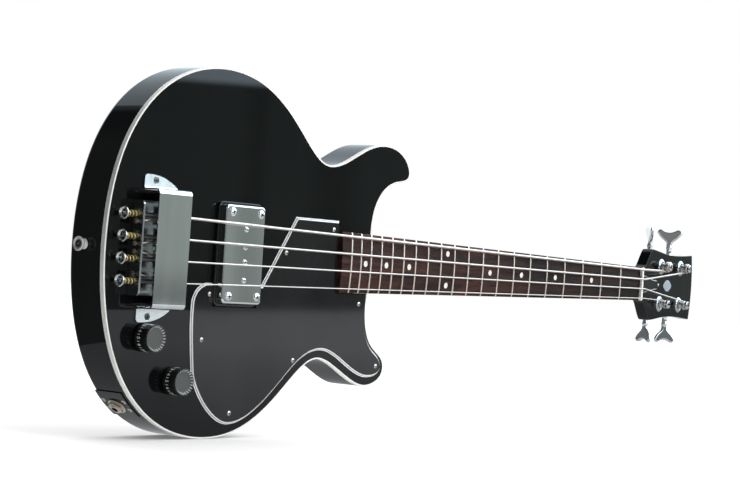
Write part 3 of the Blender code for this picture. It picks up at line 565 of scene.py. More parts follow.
def make_rosewood():
    """Long brown streaks with dark open pores along the strings, darker towards the nut."""
    n = Look("rosewood", "rosewood", Specular_IOR_Level=0.12)
    wood = n.ramp(
        n.noise(60, 6, 0.62, (0.12, 1.0, 1.6)),
        (0.28, (0.010, 0.004, 0.004)),
        (0.45, (0.026, 0.010, 0.008)),
        (0.58, (0.056, 0.021, 0.015)),
        (0.75, (0.100, 0.038, 0.026)),
    )
    pores = n.ramp(n.noise(900, 2, 0.5, (0.05, 1, 1)), (0.56, (1, 1, 1)), (0.64, (0.25, 0.22, 0.2)))
    place = n.new("SeparateXYZ", {0: n.place})
    along = n.spread(place.outputs["X"], 1.25, 0.5, 0.25, 0.75)
    scaled = {0: n.blend(0.85, wood, pores, "MULTIPLY"), "Scale": along}
    n.colour(n.new("VectorMath", scaled, operation="SCALE").outputs["Vector"])
    n.roughness(n.noise(220, 3, 0.5, (0.1, 1, 1)), 0.38, 0.62)
    n.bump(pores, 0.12, 0.8)
    return n.material


def make_wound():
    """Nickel wire wrapped round the string, as a fine ripple along its length, with painted shade in the grooves
    between the windings.
    """
    n = Look("wound_nickel", "strings", Metallic=1.0)
    inputs = {"Scale": 330.0, "Distortion": 0.2, "Vector": n.place}
    wave = n.new("TexWave", inputs, wave_type="BANDS", bands_direction="X").outputs["Fac"]
    # The ripple's grooves are darker in colour: painted shade
    n.colour(n.ramp(wave, (0.0, (0.50, 0.43, 0.38)), (0.6, (0.80, 0.71, 0.64))))
    n.roughness(n.noise(500, 2), 0.22, 0.42)
    n.bump(wave, 0.08, 0.7)
    return n.material


def make_plain(name, slot, dark, light, scale, rough, bump=0.02, metallic=0.0, stretch=(1, 1, 1)):
    """A solid-looking material with a little cloud in its colour and shine."""
    n = Look(name, slot, Metallic=metallic)
    n.colour(n.ramp(n.noise(scale, 4, 0.55, stretch), (0.32, dark), (0.68, light)))
    n.roughness(n.noise(scale * 3, 4, 0.6, stretch), *rough)
    n.bump(n.noise(scale * 6, 3, 0.5, stretch), bump, 0.5)
    return n.material


BLACK, NEAR_BLACK = (0.006, 0.006, 0.0065), (0.012, 0.012, 0.013)
BRIGHT, BRIGHTER = (0.84, 0.86, 0.85), (0.92, 0.94, 0.93)
# Greys for the painted sheen on the knobs' tops
SHEEN_GREY, LIGHTER_SHEEN_GREY = (0.06, 0.066, 0.064), (0.072, 0.079, 0.076)
ACROSS_GRAIN, ROUND_COIL = (1, 1, 0.15), (0.1, 30, 0.1)
# The arguments of make_plain
PLAIN = {
    "fret": ("fret_nickel", "rosewood", (0.78, 0.66, 0.56), (0.90, 0.79, 0.69), 90, (0.3, 0.42), 0.01,
             1.0),
    "pearl": ("inlay_white", "rosewood", (0.74, 0.73, 0.70), (0.90, 0.89, 0.86), 300, (0.15, 0.3), 0.01),
    "nut": ("nut_white", "nut", (0.76, 0.74, 0.69), (0.86, 0.84, 0.79), 120, (0.3, 0.45)),
    "guard": ("guard_black", "pickguard", BLACK, NEAR_BLACK, 14, (0.03, 0.07), 0.006),
    "ply": ("guard_white_ply", "pickguard", (0.78, 0.78, 0.8), (0.9, 0.9, 0.92), 60, (0.2, 0.32)),
    "plastic": ("black_plastic", "black_plastic", BLACK, NEAR_BLACK, 70, (0.10, 0.2), 0.01),
    # Painted sheen: the knob's rim and dished top are a lighter grey than its black barrel
    "crown": ("dial_crown", "black_plastic", SHEEN_GREY, LIGHTER_SHEEN_GREY, 20, (0.14, 0.2), 0.002),
    # Painted shade: brass darkened almost to black for the string ball ends, between the screw heads at the
    # bridge
    "tarnish": ("tarnished_brass", "strings", (0.02, 0.017, 0.012), (0.06, 0.05, 0.035), 150, (0.4, 0.6)),
    "grey_pearl": ("grey_pearl", "lacquer", (0.22, 0.27, 0.33), (0.36, 0.42, 0.5), 160, (0.2, 0.3), 0.01),
    # Print for the knobs' numbers and ticks, and painted highlight for the pale marks at their rims' ridges
    "paint": ("dial_paint", "black_plastic", (0.7, 0.7, 0.68), (0.85, 0.85, 0.83), 200, (0.4, 0.6)),
    "chrome": ("polished_chrome", "chrome", (0.8, 0.81, 0.82), (0.86, 0.87, 0.88), 45, (0.02, 0.06), 0.002, 1.0),
    # Chrome darkened to about 60 percent: painted shade on the bridge's base and saddles under the cover; the
    # tuner bushings and posts take it too
    "worn": ("worn_chrome", "chrome", (0.5, 0.51, 0.51), (0.6, 0.61, 0.61), 45, (0.1, 0.18), 0.002, 1.0),
    "satin": ("satin_chrome", "chrome", BRIGHT, BRIGHTER, 60, (0.03, 0.06), 0.002, 1.0, ACROSS_GRAIN),
    "brushed": ("brushed_chrome", "chrome", BRIGHT, BRIGHTER, 60, (0.2, 0.28), 0.004, 1.0, ACROSS_GRAIN),
    "nickel": ("nickel_plate", "steel", (0.62, 0.56, 0.47), (0.78, 0.71, 0.61), 70, (0.12, 0.3), 0.01, 1.0),
    "button": ("button_nickel", "steel", (0.84, 0.84, 0.82), (0.95, 0.95, 0.93), 70, (0.32, 0.42), 0.01,
               0.55),
    "thread": ("screw_thread", "steel", (0.10, 0.10, 0.10), (0.17, 0.17, 0.17), 90, (0.3, 0.45), 0.01, 1.0),
    "brass": ("spring_brass", "brass", (0.78, 0.56, 0.14), (0.95, 0.74, 0.26), 120, (0.2, 0.34), 0.01, 0.8),
    "copper": ("coil_copper", "copper", (0.4, 0.15, 0.07), (0.62, 0.27, 0.13), 200, (0.25, 0.45), 0.05,
               1.0, ROUND_COIL),
    # Painted shade: near black for the screws' cross recesses, which are only in shade
    "shadow": ("hole_black", "black_plastic", (0.002, 0.002, 0.002), (0.004, 0.004, 0.004), 50, (0.7, 0.9)),
    "felt": ("felt_washer", "black_plastic", (0.01, 0.01, 0.01), (0.03, 0.03, 0.03), 900, (0.85, 1.0), 0.2),
}


def make_looks():
    LOOKS.update({key: make_plain(*row) for key, row in PLAIN.items()})
    LOOKS["lacquer"] = make_lacquer()
    LOOKS["binding"] = make_binding_look()
    LOOKS["rosewood"] = make_rosewood()
    LOOKS["wound"] = make_wound()


# ---------------------------------------------------------------- screws


def screw_shape(radius, dome, sunk=0.4, cross=0.62, segments=28):
    """The mesh of a domed cross-head screw along +Z, in millimetres."""
    profile = [(radius * 0.9, -sunk), (radius, -sunk + 0.15), (radius, 0.0)]
    profile += [(radius * cos(angle), dome * sin(angle)) for angle in quarter(7)[1:-1]]
    unscaled = Matrix.Scale(1 / MM, 4)
    head = tool(turned(profile, (0, 0, 0), (0, 0, 1), segments), unscaled)
    long, wide = radius * cross, radius * 0.15
    blades = []
    for a, b in ((long, wide), (wide, long)):
        corners = ((a, b), (-a, b), (-a, -b), (a, -b))
        ends = ((0.7, dome - radius * 0.45), (1.1, dome + 1))
        blades.append(tool(loft([[(x * s, y * s, z) for x, y in corners] for s, z in ends]), unscaled))
    combine(head, blades, smooth=30)
    mesh = head.data
    # The cross recess takes the second material, as painted shade
    for face in mesh.polygons:
        x, y, z = face.center
        depth = (x * x + y * y) / radius**2 + (max(z, 0) / dome) ** 2
        face.material_index = 1 if depth < 0.72 and z > 0.05 - sunk else 0
    bpy.data.objects.remove(head)
    return mesh


def facing(point, direction, turn=0.0):
    """A matrix that puts +Z along direction at point."""
    aim = Vector(direction).to_track_quat("Z", "Y").to_matrix().to_4x4()
    return Matrix.Translation(Vector(point)) @ aim @ Matrix.Rotation(turn, 4, "Z")


def screws(name, points, look, radius, dome, place=None, direction=(0, -1, 0), spin=(0.35, 1.1)):
    """Screws in one piece, each turned its own way. direction may be a list, one for each."""
    aims = direction if isinstance(direction, list) else [direction] * len(points)
    shape = screw_shape(radius, dome)
    bm = bmesh.new()
    for i, (point, aim) in enumerate(zip(points, aims)):
        before = len(bm.verts)
        bm.from_mesh(shape)
        bm.verts.ensure_lookup_table()
        move = facing(point, aim, spin[0] + spin[1] * i)
        bmesh.ops.transform(bm, matrix=move, verts=bm.verts[before:])
    finish(bm, name, look, place=place, smooth=30)


# ---------------------------------------------------------------- body


def neck_pocket():
    near, far = FRETBOARD_END - GAP, HEEL_EDGE + 20
    at_near, at_far = neck_half_width(near) + GAP, neck_half_width(far) + GAP
    outline = ((near, at_near), (near, -at_near), (far, -at_far), (far, at_far))
    return tool(prism(outline, -3, NECK_TOP + HEEL_DEPTH + GAP), NECK)


def cavity_outline(margin):
    """The control cavity's outline, which follows the line through both knobs."""
    points = map(joint_point, ("volume_knob_turn", "tone_knob_turn"))
    first, second = (Vector((p.x, p.z)) for p in points)
    along = (second - first).normalized()
    rimward = Vector((along.y, -along.x))
    centre = (first + second) / 2 + rimward * 7.0
    flat = rounded_rectangle(-38.5 - margin, 38.5 + margin, -21 - margin, 21 + margin, 12 + margin)
    return [tuple(centre + along * u - rimward * v) for u, v in flat]


def make_body():
    side = FACE + BINDING_DEPTH
    levels = [(FACE, -0.05), (side, -0.05), (side, BINDING_WIDTH - 0.15), (side + 0.15, BINDING_WIDTH)]
    for angle in quarter(9):
        levels.append((-BACK_ROUND * (1 - sin(angle)), BINDING_WIDTH - BACK_ROUND * (1 - cos(angle))))
    loops = stack([(y, body_outline(offset)) for y, offset in levels])
    body = finish(loft(loops), "body_shell", "lacquer", node="body", smooth=30)
    low, high = low_high("pickup_cover")
    cavity = rounded_rectangle(low.x - 0.6, high.x + 0.6, low.z - 0.6, high.z + 0.6, 5)
    outward, middle = jack_place()
    cutters = [
        neck_pocket(),
        tool(prism(cavity, FACE - 2, PICKUP_CAVITY_FLOOR)),
        tool(prism(cavity_outline(0), CONTROL_CAVITY_FLOOR, 2)),
        tool(prism(cavity_outline(4.3), -COVER_RECESS, 3)),
        drill(11, -3, 30, middle, -outward, 32),
    ]
    for knob in ("volume", "tone"):
        point = joint_point(f"{knob}_knob_turn")
        cutters.append(drill(4.4, 0, 12, (point.x, FACE - 2, point.z), (0, 1, 0)))
    combine(body, cutters, smooth=30)


def make_binding():
    round_edge = 0.5
    levels = [(FACE, 0.0)]
    for angle in quarter(4):
        inset = BINDING_WIDTH - round_edge * (1 - sin(angle))
        levels.append((FACE + round_edge * (1 - cos(angle)), inset))
    levels += [(FACE + BINDING_DEPTH, BINDING_WIDTH), (FACE + BINDING_DEPTH, 0.0)]
    loops = stack([(y, body_outline(offset)) for y, offset in levels])
    piece = finish(loft(loops, closed=True), "body_binding", "binding", node="binding")
    combine(piece, [neck_pocket()])


def guard_edges():
    """The lines along the neck and the pickup's surround, where the scratchplate isn't bevelled."""
    ring_low, ring_high = low_high("pickup_ring")
    neck_z = neck_half_width(FRETBOARD_END) + 0.6
    return ring_low.x - 0.6, ring_high.x + 0.6, ring_low.z - 0.6, FRETBOARD_END - 2 * GAP, neck_z


def guard_outline():
    """The scratchplate: straight along the strings, then round the lower bout and the horn."""
    ring_back, ring_front, ring_z, neck_x, neck_z = guard_edges()
    upper = [(neck_x, neck_z), (neck_x, neck_z + 0.1), (neck_x, 39.0), (168.0, 39.0), (125.5, GUARD_TOP)]
    upper += [(ring_front, GUARD_TOP), (ring_front, ring_z), (ring_back, ring_z), (ring_back, GUARD_TOP)]
    return upper + smooth_path(GUARD_KNOTS) + [(276.4, -neck_z), (neck_x, -neck_z)]


def bevelled(outline, inset):
    """Insets the outline, but leaves the edges against the neck and the pickup where they are."""
    ring_back, ring_front, ring_z, neck_x, neck_z = guard_edges()
    moved = []
    for (x, z), (new_x, new_z) in zip(outline, grown(outline, -inset)):
        by_ring = x in (ring_back, ring_front)
        by_neck = x == neck_x and abs(z) == neck_z
        keep_z = by_neck or z == -neck_z or (by_ring and z == ring_z)
        moved.append((x if by_ring or by_neck else new_x, z if keep_z else new_z))
    return moved


def blacken_hidden_edges(bm):
    """Painted shade: where the scratchplate meets the neck and the pickup, the plies' faces take the black
    material, so the plies don't show there.
    """
    ring_back, ring_front, ring_z, neck_x, neck_z = guard_edges()
    for face in bm.faces:
        x, _, z = face.calc_center_median()
        by_ring = ring_back - 0.1 < x < ring_front + 0.1 and ring_z - 0.1 < z < -29
        if by_ring or (neck_x - 0.1 < x and abs(z) < neck_z + 0.05):
            face.material_index = 0


def make_pickguard():
    """Five plies, black outside, whose cut edge is bevelled so that the white ones show."""
    low, high = low_high("pickguard")
    sheet, bevel = high.y - low.y, 2.6
    outline = guard_outline()
    shares = ((0.0, 0), (0.08, 1), (0.40, 0), (0.55, 1), (0.92, 0), (1.0, 0))
    bm = bmesh.new()
    loops = stack([(high.y - sheet * share, bevelled(outline, bevel * share)) for share, _ in shares])
    add_loft(bm, loops, slots=[slot for _, slot in shares])
    blacken_hidden_edges(bm)
    finish(bm, "scratchplate", ("guard", "ply"), node="pickguard", smooth=20)
    places = (
        (220.5, 30.0), (155.2, 4.8), (57.2, -36.5), (50.5, -77.2),
        (92.3, -142.5), (173.9, -94.2), (264.2, -39.0), (296.0, -98.5),
    )
    screws("scratchplate_screws", [(x, low.y, z) for x, z in places], NICKEL_SCREW, 2.3, 0.9)


def make_back():
    back = (0, 1, 0)
    low, high = low_high("control_cover")
    plate = rounded_prism([(x, -z) for x, z in cavity_outline(4.0)][::-1], -high.y, -low.y, 0.4)
    finish(plate, "rear_cover", "plastic", node="control_cover", place=UPSIDE_DOWN)
    corners = cavity_outline(-1.5)
    part = len(corners) // 4
    places = [(x, high.y, z) for x, z in corners[part // 2::part]]
    screws("rear_cover_screws", places, NICKEL_SCREW, 2.4, 0.9, direction=back)
    low, high = low_high("neck_plate")
    plate = rounded_prism(rounded_rectangle(low.x, high.x, -high.z, -low.z, 5), -high.y, -low.y, 0.8)
    finish(plate, "heel_plate", "chrome", node="neck_plate", place=UPSIDE_DOWN)
    inset = 7.5
    sides = (low.z + inset, high.z - inset)
    places = [(x, high.y, z) for x in (low.x + inset, high.x - inset) for z in sides]
    screws("heel_plate_screws", places, CHROME_SCREW, 4.2, 1.8, direction=back)


# ---------------------------------------------------------------- neck


def neck_loop(x, depth, squareness, sides=36):
    half = neck_half_width(x)
    power = 2 / squareness
    loop = [(x, NECK_TOP, half)]
    for i in range(sides + 1):
        angle = pi * i / sides
        across = copysign(abs(cos(angle)) ** power, cos(angle))
        down = sin(angle) ** power if 0 < i < sides else 0.0
        loop.append((x, NECK_TOP + 2 + (depth - 2) * down, half * across))
    return [*loop, (x, NECK_TOP, -half)]


def eased(stations, steps):
    """Fills in between stations of (x, depth, squareness)."""
    rows = []
    for a, b in zip(stations, stations[1:]):
        for i in range(steps):
            share = i / steps
            ease = share * share * (3 - 2 * share)
            rows.append([p + (q - p) * part for p, q, part in zip(a, b, (share, ease, ease))])
    return rows + [stations[-1]]


def head_outline(steps=20):
    upper = smooth_path(HEAD_KNOTS)
    length, half = upper[-1]
    end = []
    for i in range(1, steps):
        share = 1 - 2 * i / steps
        end.append((length + HEAD_END_BULGE * (1 - share * share), half * share))
    return (upper + end + [(x, -z) for x, z in reversed(upper)])[::-1]


def make_neck():
    stations = (
        (FRETBOARD_END, HEEL_DEPTH, 16),
        (HEEL_EDGE, HEEL_DEPTH, 16),
        (291.0, 17.0, 6),
        (302.0, 16.8, 3.0),
        (332.0, 16.4, 2.2),
        (550.0, 15.2, 2.2),
        (745.0, 14.0, 2.2),
        (770.0, 13.8, 2.4),
        (SCALE_LENGTH + NUT_THICKNESS, 13.6, 3.0),
    )
    loops = [neck_loop(*row) for row in eased(stations, 6)]
    neck = finish(loft(loops), "neck_shaft", "lacquer", node="neck", place=NECK, smooth=40)
    outline = head_outline()
    back = HEAD_THICKNESS
    edge = ((0.0, -0.6), (0.18, -0.18), (0.6, 0.0), (back - 1.2, 0.0), (back - 0.35, -0.35), (back, -1.2))
    slab = loft(stack([(y, grown(outline, offset)) for y, offset in edge]))
    combine(neck, [tool(slab, HEAD)], "UNION", smooth=40)
    holes = [tool(box((240.0, NECK_TOP - 3, -3.6), (796.0, NECK_TOP + 8.5, 3.6)), NECK)]
    for name, *_ in STRINGS:
        post = on_head(f"tuner_post_{name}_turn")
        holes.append(drill(6.5, -2, back + 2, (post.x, 0, post.z), (0, 1, 0), 28, HEAD))
    combine(neck, holes, smooth=40)


def make_fretboard(steps=14):
    loops = []
    for x in (FRETBOARD_END, SCALE_LENGTH):
        half = neck_half_width(x)
        loop = [(x, FRETBOARD_THICKNESS, half), (x, FRETBOARD_THICKNESS, -half)]
        for i in range(steps + 1):
            z = half * (2 * i / steps - 1)
            loop.append((x, camber(z) + (0.35 if i in (0, steps) else 0.0), z))
        loops.append(loop)
    finish(loft(loops), "fingerboard", "rosewood", node="fretboard", place=NECK, smooth=20)
    make_frets()
    make_inlays()


def make_frets(across=22):
    """Crowned wires over the camber, with their ends filed in."""
    bm = bmesh.new()
    filed = 1.6
    for number in range(1, FRET_COUNT + 1):
        x = fret_position(number)
        half = neck_half_width(x) - 0.15
        loops = []
        for i in range(across + 1):
            z = half * (2 * i / across - 1)
            height = 0.95 * (0.25 + 0.75 * sin(min(half - abs(z), filed) / filed * pi / 2))
            top = camber(z)
            loop = [(x - 1.0, top + 0.4, z)]
            for k in range(9):
                angle = pi * k / 8
                loop.append((x - 1.05 * cos(angle), top - height * sin(angle) ** 0.8, z))
            loops.append([*loop, (x + 1.0, top + 0.4, z)])
        add_loft(bm, loops)
    finish(bm, "frets", "fret", place=NECK, smooth=50)


def make_inlays():
    face, side = bmesh.new(), bmesh.new()
    for number in INLAY_FRETS:
        x = (fret_position(number) + fret_position(number - 1)) / 2
        double = number == 12
        for z in (-16.0, 16.0) if double else (0.0,):
            dot = circle(2.9, 28)
            under = [(x + u, 1.5 + camber(z + w), z + w) for u, w in dot]
            add_loft(face, [under, [(x + u, camber(z + w) - 0.03, z + w) for u, w in dot]])
        for shift in (-4.0, 4.0) if double else (0.0,):
            centre = (x + shift, 3.0, neck_half_width(x + shift))
            add_loft(side, rings(((1.0, -0.5), (1.0, 0.04)), centre, (0, 0, 1), 16))
    finish(face, "position_dots", "pearl", place=NECK, smooth=30)
    finish(side, "side_dots", "pearl", place=NECK, smooth=30)


def make_nut():
    start, end = SCALE_LENGTH + GAP, SCALE_LENGTH + NUT_THICKNESS
    base, top = FRETBOARD_THICKNESS, NUT_TOP - 0.9
    section = [(start, base), (end, base), (end, top + 1.6), (end - 1.0, top + 0.5)]
    section += [(start + 1.2, top), (start + 0.3, top + 0.15), (start, top + 0.6)]
    loops = []
    for share, drop in ((-1, 1.0), (-0.985, 0.35), (-0.95, 0), (0.95, 0), (0.985, 0.35), (1, 1.0)):
        loops.append([(x, y + (drop if y < 2 else 0), HALF_WIDTH_AT_NUT * share) for x, y in section])
    nut = finish(loft(loops), "string_nut", "nut", node="nut", place=NECK, smooth=25)
    slots = []
    for name, radius, *_ in STRINGS:
        centre = (start, NUT_TOP - radius - GAP, NUT_Z[name])
        slots.append(drill(radius + 0.08, -3, 9, centre, (1, 0, 0), 20, NECK))
    combine(nut, slots, smooth=25)


def make_head_trim():
    """The truss rod's cover, its screw, and a plain diamond-shaped inlay."""
    outline = mirrored(smooth_path(TRUSS_COVER_KNOTS))
    low = -GAP - 1.8
    bm = bmesh.new()
    levels = ((-GAP, 0.0), (-GAP - 1.1, -0.9), (low, -1.3))
    add_loft(bm, stack([(y, grown(outline, offset)) for y, offset in levels]), slots=(1, 0, 0))
    finish(bm, "truss_cover", ("guard", "ply"), node="truss_rod_cover", place=HEAD, smooth=20)
    screws("truss_cover_screw", [(56.5, low, 0)], NICKEL_SCREW, 1.7, 0.7, place=HEAD)
    diamond = smooth_path(((76.0, 0.0, 60, 0, 4, 8), (88.0, 6.8, 0, 5, 5, 8), (100.0, 0.0, -60, 4, 0, 0)))
    finish(prism(mirrored(diamond), -0.12, 0.6), "head_inlay", "grey_pearl", place=HEAD, smooth=30)


# ---------------------------------------------------------------- tuners


def make_tuner(name, side, turn):
    post = on_head(f"tuner_post_{name}_turn")
    worm = on_head(f"tuner_key_{name}_turn")
    make_bushing(name, post)
    make_tuner_plate(name, post, worm)
    make_post(name, post)
    make_key(name, worm, side, turn)


def make_bushing(name, at):
    profile = ((5.5, -1.8), (5.8, -2.0), (6.9, -1.95), (7.7, -1.7), (8.8, -0.8), (9.2, -GAP), (6.2, -GAP),
               (6.2, 8), (5.5, 8))
    ring = turned(profile, (at.x, 0, at.z), (0, 1, 0), 44, bore=True)
    finish(ring, f"bushing_{name}", "worn", node=f"tuner_bushing_{name}", place=HEAD)


def make_tuner_plate(name, post, worm):
    back = HEAD_THICKNESS + GAP
    sheet = 1.6
    low_x, high_x, half = post.x - 13, post.x + 19, 13.5
    outline = rounded_rectangle(low_x, high_x, post.z - half, post.z + half, 4)
    plate = finish(rounded_prism(outline, back, back + sheet, 0.3), f"tuner_base_{name}", "chrome",
                   node=f"tuner_plate_{name}", place=HEAD)
    arch = [(worm.x - 5, back + 0.5), (worm.x + 5, back + 0.5)]
    arch += [(worm.x + 5 * cos(pi * i / 12), WORM_Y + 4.2 * sin(pi * i / 12)) for i in range(13)]
    ears = []
    for end in (-1, 1):
        ears.append(tool(along_z(arch, sorted((post.z + end * 9.0, post.z + end * 11.5))), HEAD))
    combine(plate, ears, "UNION")
    combine(plate, [
        drill(5.15, 0, 6, (post.x, back - 1, post.z), (0, 1, 0), 32, HEAD),
        drill(2.35, 0, 32, (worm.x, WORM_Y, post.z - 16), (0, 0, 1), 24, HEAD),
    ])
    inset = 3.2
    places = [(x, back + sheet, post.z + u) for x in (low_x + inset, high_x - inset) for u in (-10.3, 10.3)]
    screws(f"tuner_base_screws_{name}", places, NICKEL_SCREW, 2.0, 0.8, HEAD, (0, 1, 0))


def make_post(name, at):
    """A waisted post with a slot for the string, and a toothed gear behind the head."""
    top, low = -POST_HEIGHT, WORM_Y - 2
    profile = ((0.6, top + 0.1), (3.9, top), (4.6, top + 0.4), (4.9, top + 1.2), (4.8, top + 2.4),
               (POST_WAIST, top + 5), (POST_WAIST, -5.2), (4.5, -3.4), (4.95, -2.6), (4.95, low + 3))
    post = finish(turned(profile, (at.x, 0, at.z), (0, 1, 0), 44), f"post_{name}", "worn",
                  f"tuner_post_{name}", f"tuner_post_{name}", HEAD)
    outline = []
    for i in range(GEAR_TEETH):
        for share, reach in ((-0.3, -TOOTH_HEIGHT), (-0.16, 0), (0.16, 0), (0.3, -TOOTH_HEIGHT)):
            angle = tau * (i + share) / GEAR_TEETH
            radius = GEAR_RADIUS + reach
            outline.append((at.x + radius * cos(angle), at.z + radius * sin(angle)))
    slot = box((at.x - 6, top - 1, at.z - 0.9), (at.x + 6, top + 4.2, at.z + 0.9))
    combine(post, [tool(slot, HEAD)])
    combine(post, [tool(prism(outline, low, low + 4), HEAD)], "UNION")


def make_key(name, at, side, turn):
    """The worm, its shaft and the Y-shaped wing, which turn together."""
    body = f"tuner_key_{name}"
    reach = WING_START - abs(at.z) + 1
    profile = (
        (1.6, -13.2), (2.2, -12.6), (2.2, -8.6), (1.9, -8.4), (1.9, 8.4), (2.2, 8.6), (2.2, 13), (3.2, 13.1),
        (4.4, 13.6), (4.4, 15.2), (3.2, 15.8), (2.9, 17.5), (2.9, reach - 2), (3.4, reach - 1),
        (3.6, reach + 1.5), (2.8, reach + 4.0), (0.4, reach + 5.5),
    )
    bm = turned(profile, at, (0, 0, side), 32)
    outline = [(along + WING_START, across) for along, across in mirrored(smooth_path(WING_KNOTS))]
    spin = Matrix.Translation(at) @ Matrix.Rotation(radians(turn), 4, "Z") @ Matrix.Translation(-at)
    loops = []
    for i in range(13):
        angle = radians(-84 + 14 * i)
        loop = []
        for along, across in grown(outline, -WING_ROUND * (1 - cos(angle))):
            share = min(abs(across) / WING_REACH, 1.0) ** 2
            rise = WING_HALF * sin(angle) * (1.0 - 0.3 * share) + WING_CUP * share
            loop.append(spin @ Vector((at.x + across, at.y + rise, side * along)))
        loops.append(loop)
    add_loft(bm, loops)
    finish(bm, f"key_{name}", "chrome", body, body, HEAD, smooth=40)
    turns, per_turn, length, radius = 4, 14, 14.8, 2.15
    path = []
    for i in range(turns * per_turn + 1):
        angle = tau * i / per_turn
        rise = length * (i / (turns * per_turn) - 0.5)
        path.append((at.x + radius * cos(angle), at.y + radius * sin(angle), at.z + rise))
    finish(swept(path, 0.42, 6), f"worm_{name}", "chrome", body, place=HEAD)


# ---------------------------------------------------------------- bridge and strings


def make_bridge():
    low, high = low_high("bridge_plate")
    base_top = high.y - 1.6
    # The base's chrome is darkened as painted shade
    plate = finish(box((low.x, base_top, low.z), high), "bridge_base", "worn", node="bridge_plate")
    foot, bend = high.y - 0.5, 3.5
    corner = [(high.z - bend + bend * cos(a), low.y + bend - bend * sin(a)) for a in quarter(8)]
    wall = [(low.z, foot), (high.z, foot), *corner, *[(-z, y) for z, y in reversed(corner)]]
    tools = [tool(along_x(wall, (low.x, low.x + BRIDGE_SHEET)))]
    start, end = low.x + 0.9, high.x
    rail = ((start, foot), (end, foot), (end, FACE - 3.4), (end - 7, FACE - 7.6), (end - 12, RAIL_TOP),
            (start, RAIL_TOP))
    for side in (-1, 1):
        tools.append(tool(along_z(rail, sorted((side * (high.z - BRIDGE_SHEET), side * high.z)))))
    combine(plate, tools, "UNION")
    holes = []
    for name, radius, side, *_ in STRINGS:
        z = BRIDGE_Z[name]
        holes.append(drill(2.3, 0, 8, (low.x - 3, SCREW_LEVEL, z), (1, 0, 0)))
        centre = (low.x - 3, SCREW_LEVEL, z - side * ANCHOR_OFFSET)
        holes.append(drill(radius + 0.4, 0, 8, centre, (1, 0, 0), 20))
    combine(plate, holes)
    soften(plate, 0.45)
    places = [(high.x - 6, base_top, z) for z in (-30, -12, 12, 30)]
    screws("bridge_base_screws", places, NICKEL_SCREW, 2.6, 1.2)
    for name, *_ in STRINGS:
        make_saddle(name)
        make_long_screw(name)


def make_saddle(name):
    node = f"saddle_{name}"
    low, high = low_high(node)
    centre, crown = (low.x + high.x) / 2, 1.6
    section = [(low.x, high.y), (high.x, high.y), (high.x, FACE - 9.5), (centre + 4.5, FACE - 11.6)]
    for i in range(7):
        angle = radians(30 + 20 * i)
        section.append((centre + crown * cos(angle), low.y + crown - crown * sin(angle)))
    section += [(centre - 4.0, FACE - 10.8), (low.x, FACE - 8.5)]
    # The saddle's chrome is darkened as painted shade
    saddle = finish(along_z(section, (low.z, high.z)), f"saddle_block_{name}", "worn", node, node)
    combine(saddle, [drill(2.1, 0, 30, (low.x - 5, SCREW_LEVEL, BRIDGE_Z[name]), (1, 0, 0), 28)])
    soften(saddle, 0.3, 2)


def make_long_screw(name):
    """The long intonation screw, its thread, and the spring between its head and the wall."""
    body = f"intonation_screw_{name}"
    low, high = low_high(body)
    y, z = SCREW_LEVEL, BRIDGE_Z[name]
    length, radius, head = high.x - low.x, (high.z - low.z) / 2, 3.6
    profile = [(0.01, 1.7), (3.7, 1.6), (4.1, 1.2), (4.4, 0.4), (4.8, 0.0), (5.1, 0.05), (5.7, 0.5),
               (radius, 1.1), (radius - 0.15, 1.7), (4.7, 2.6), (3.2, 3.3), (1.9, head)]
    x = 8.0
    while x < length - 0.6:
        profile += [(1.9, x), (1.6, x + SCREW_PITCH / 2)]
        x += SCREW_PITCH
    profile += [(1.6, length - 0.4), (1.2, length)]
    bm = bmesh.new()
    slots = [0 if along < head else 1 for _, along in profile]
    add_loft(bm, rings(profile, (low.x, y, z), (1, 0, 0), 24), slots=slots)
    screw = finish(bm, f"long_screw_{name}", ("chrome", "thread"), body, body, smooth=40)
    blades = []
    for quarter_turn in (0, pi / 2):
        turn = Matrix.Rotation(SCREW_TURNS[name] + quarter_turn, 4, "X")
        blades.append(tool(box((-1, -2.7, -0.55), (2.9, 2.7, 0.55)), Matrix.Translation((low.x, y, z)) @ turn))
    combine(screw, blades, smooth=40)
    start, end = low.x + 4.1, low_high("bridge_plate")[0].x - 0.7
    coil, per_turn, steps = 2.5, 24, 84
    path = []
    for i in range(steps + 1):
        angle = tau * i / per_turn
        path.append((start + (end - start) * i / steps, y + coil * cos(angle), z + coil * sin(angle)))
    finish(swept(path, 0.5, 10), f"spring_coil_{name}", "brass", node=f"intonation_spring_{name}",
           smooth=60)


def cover_section(height):
    """The cross-section of the bridge's cover, a strip that turns down at both ends."""
    middle, lift = COVER_HALF_WIDTH - COVER_BEND, FACE - height + COVER_BEND
    sides = []
    for radius in (COVER_BEND, COVER_BEND - COVER_SHEET):
        bend = [(middle + radius * cos(a), lift - radius * sin(a)) for a in quarter(10)]
        sides.append([(middle + radius, FACE - GAP), *bend])
    outer, inner = sides
    return outer + [(-z, y) for z, y in reversed(outer)] + [(-z, y) for z, y in inner] + inner[::-1]


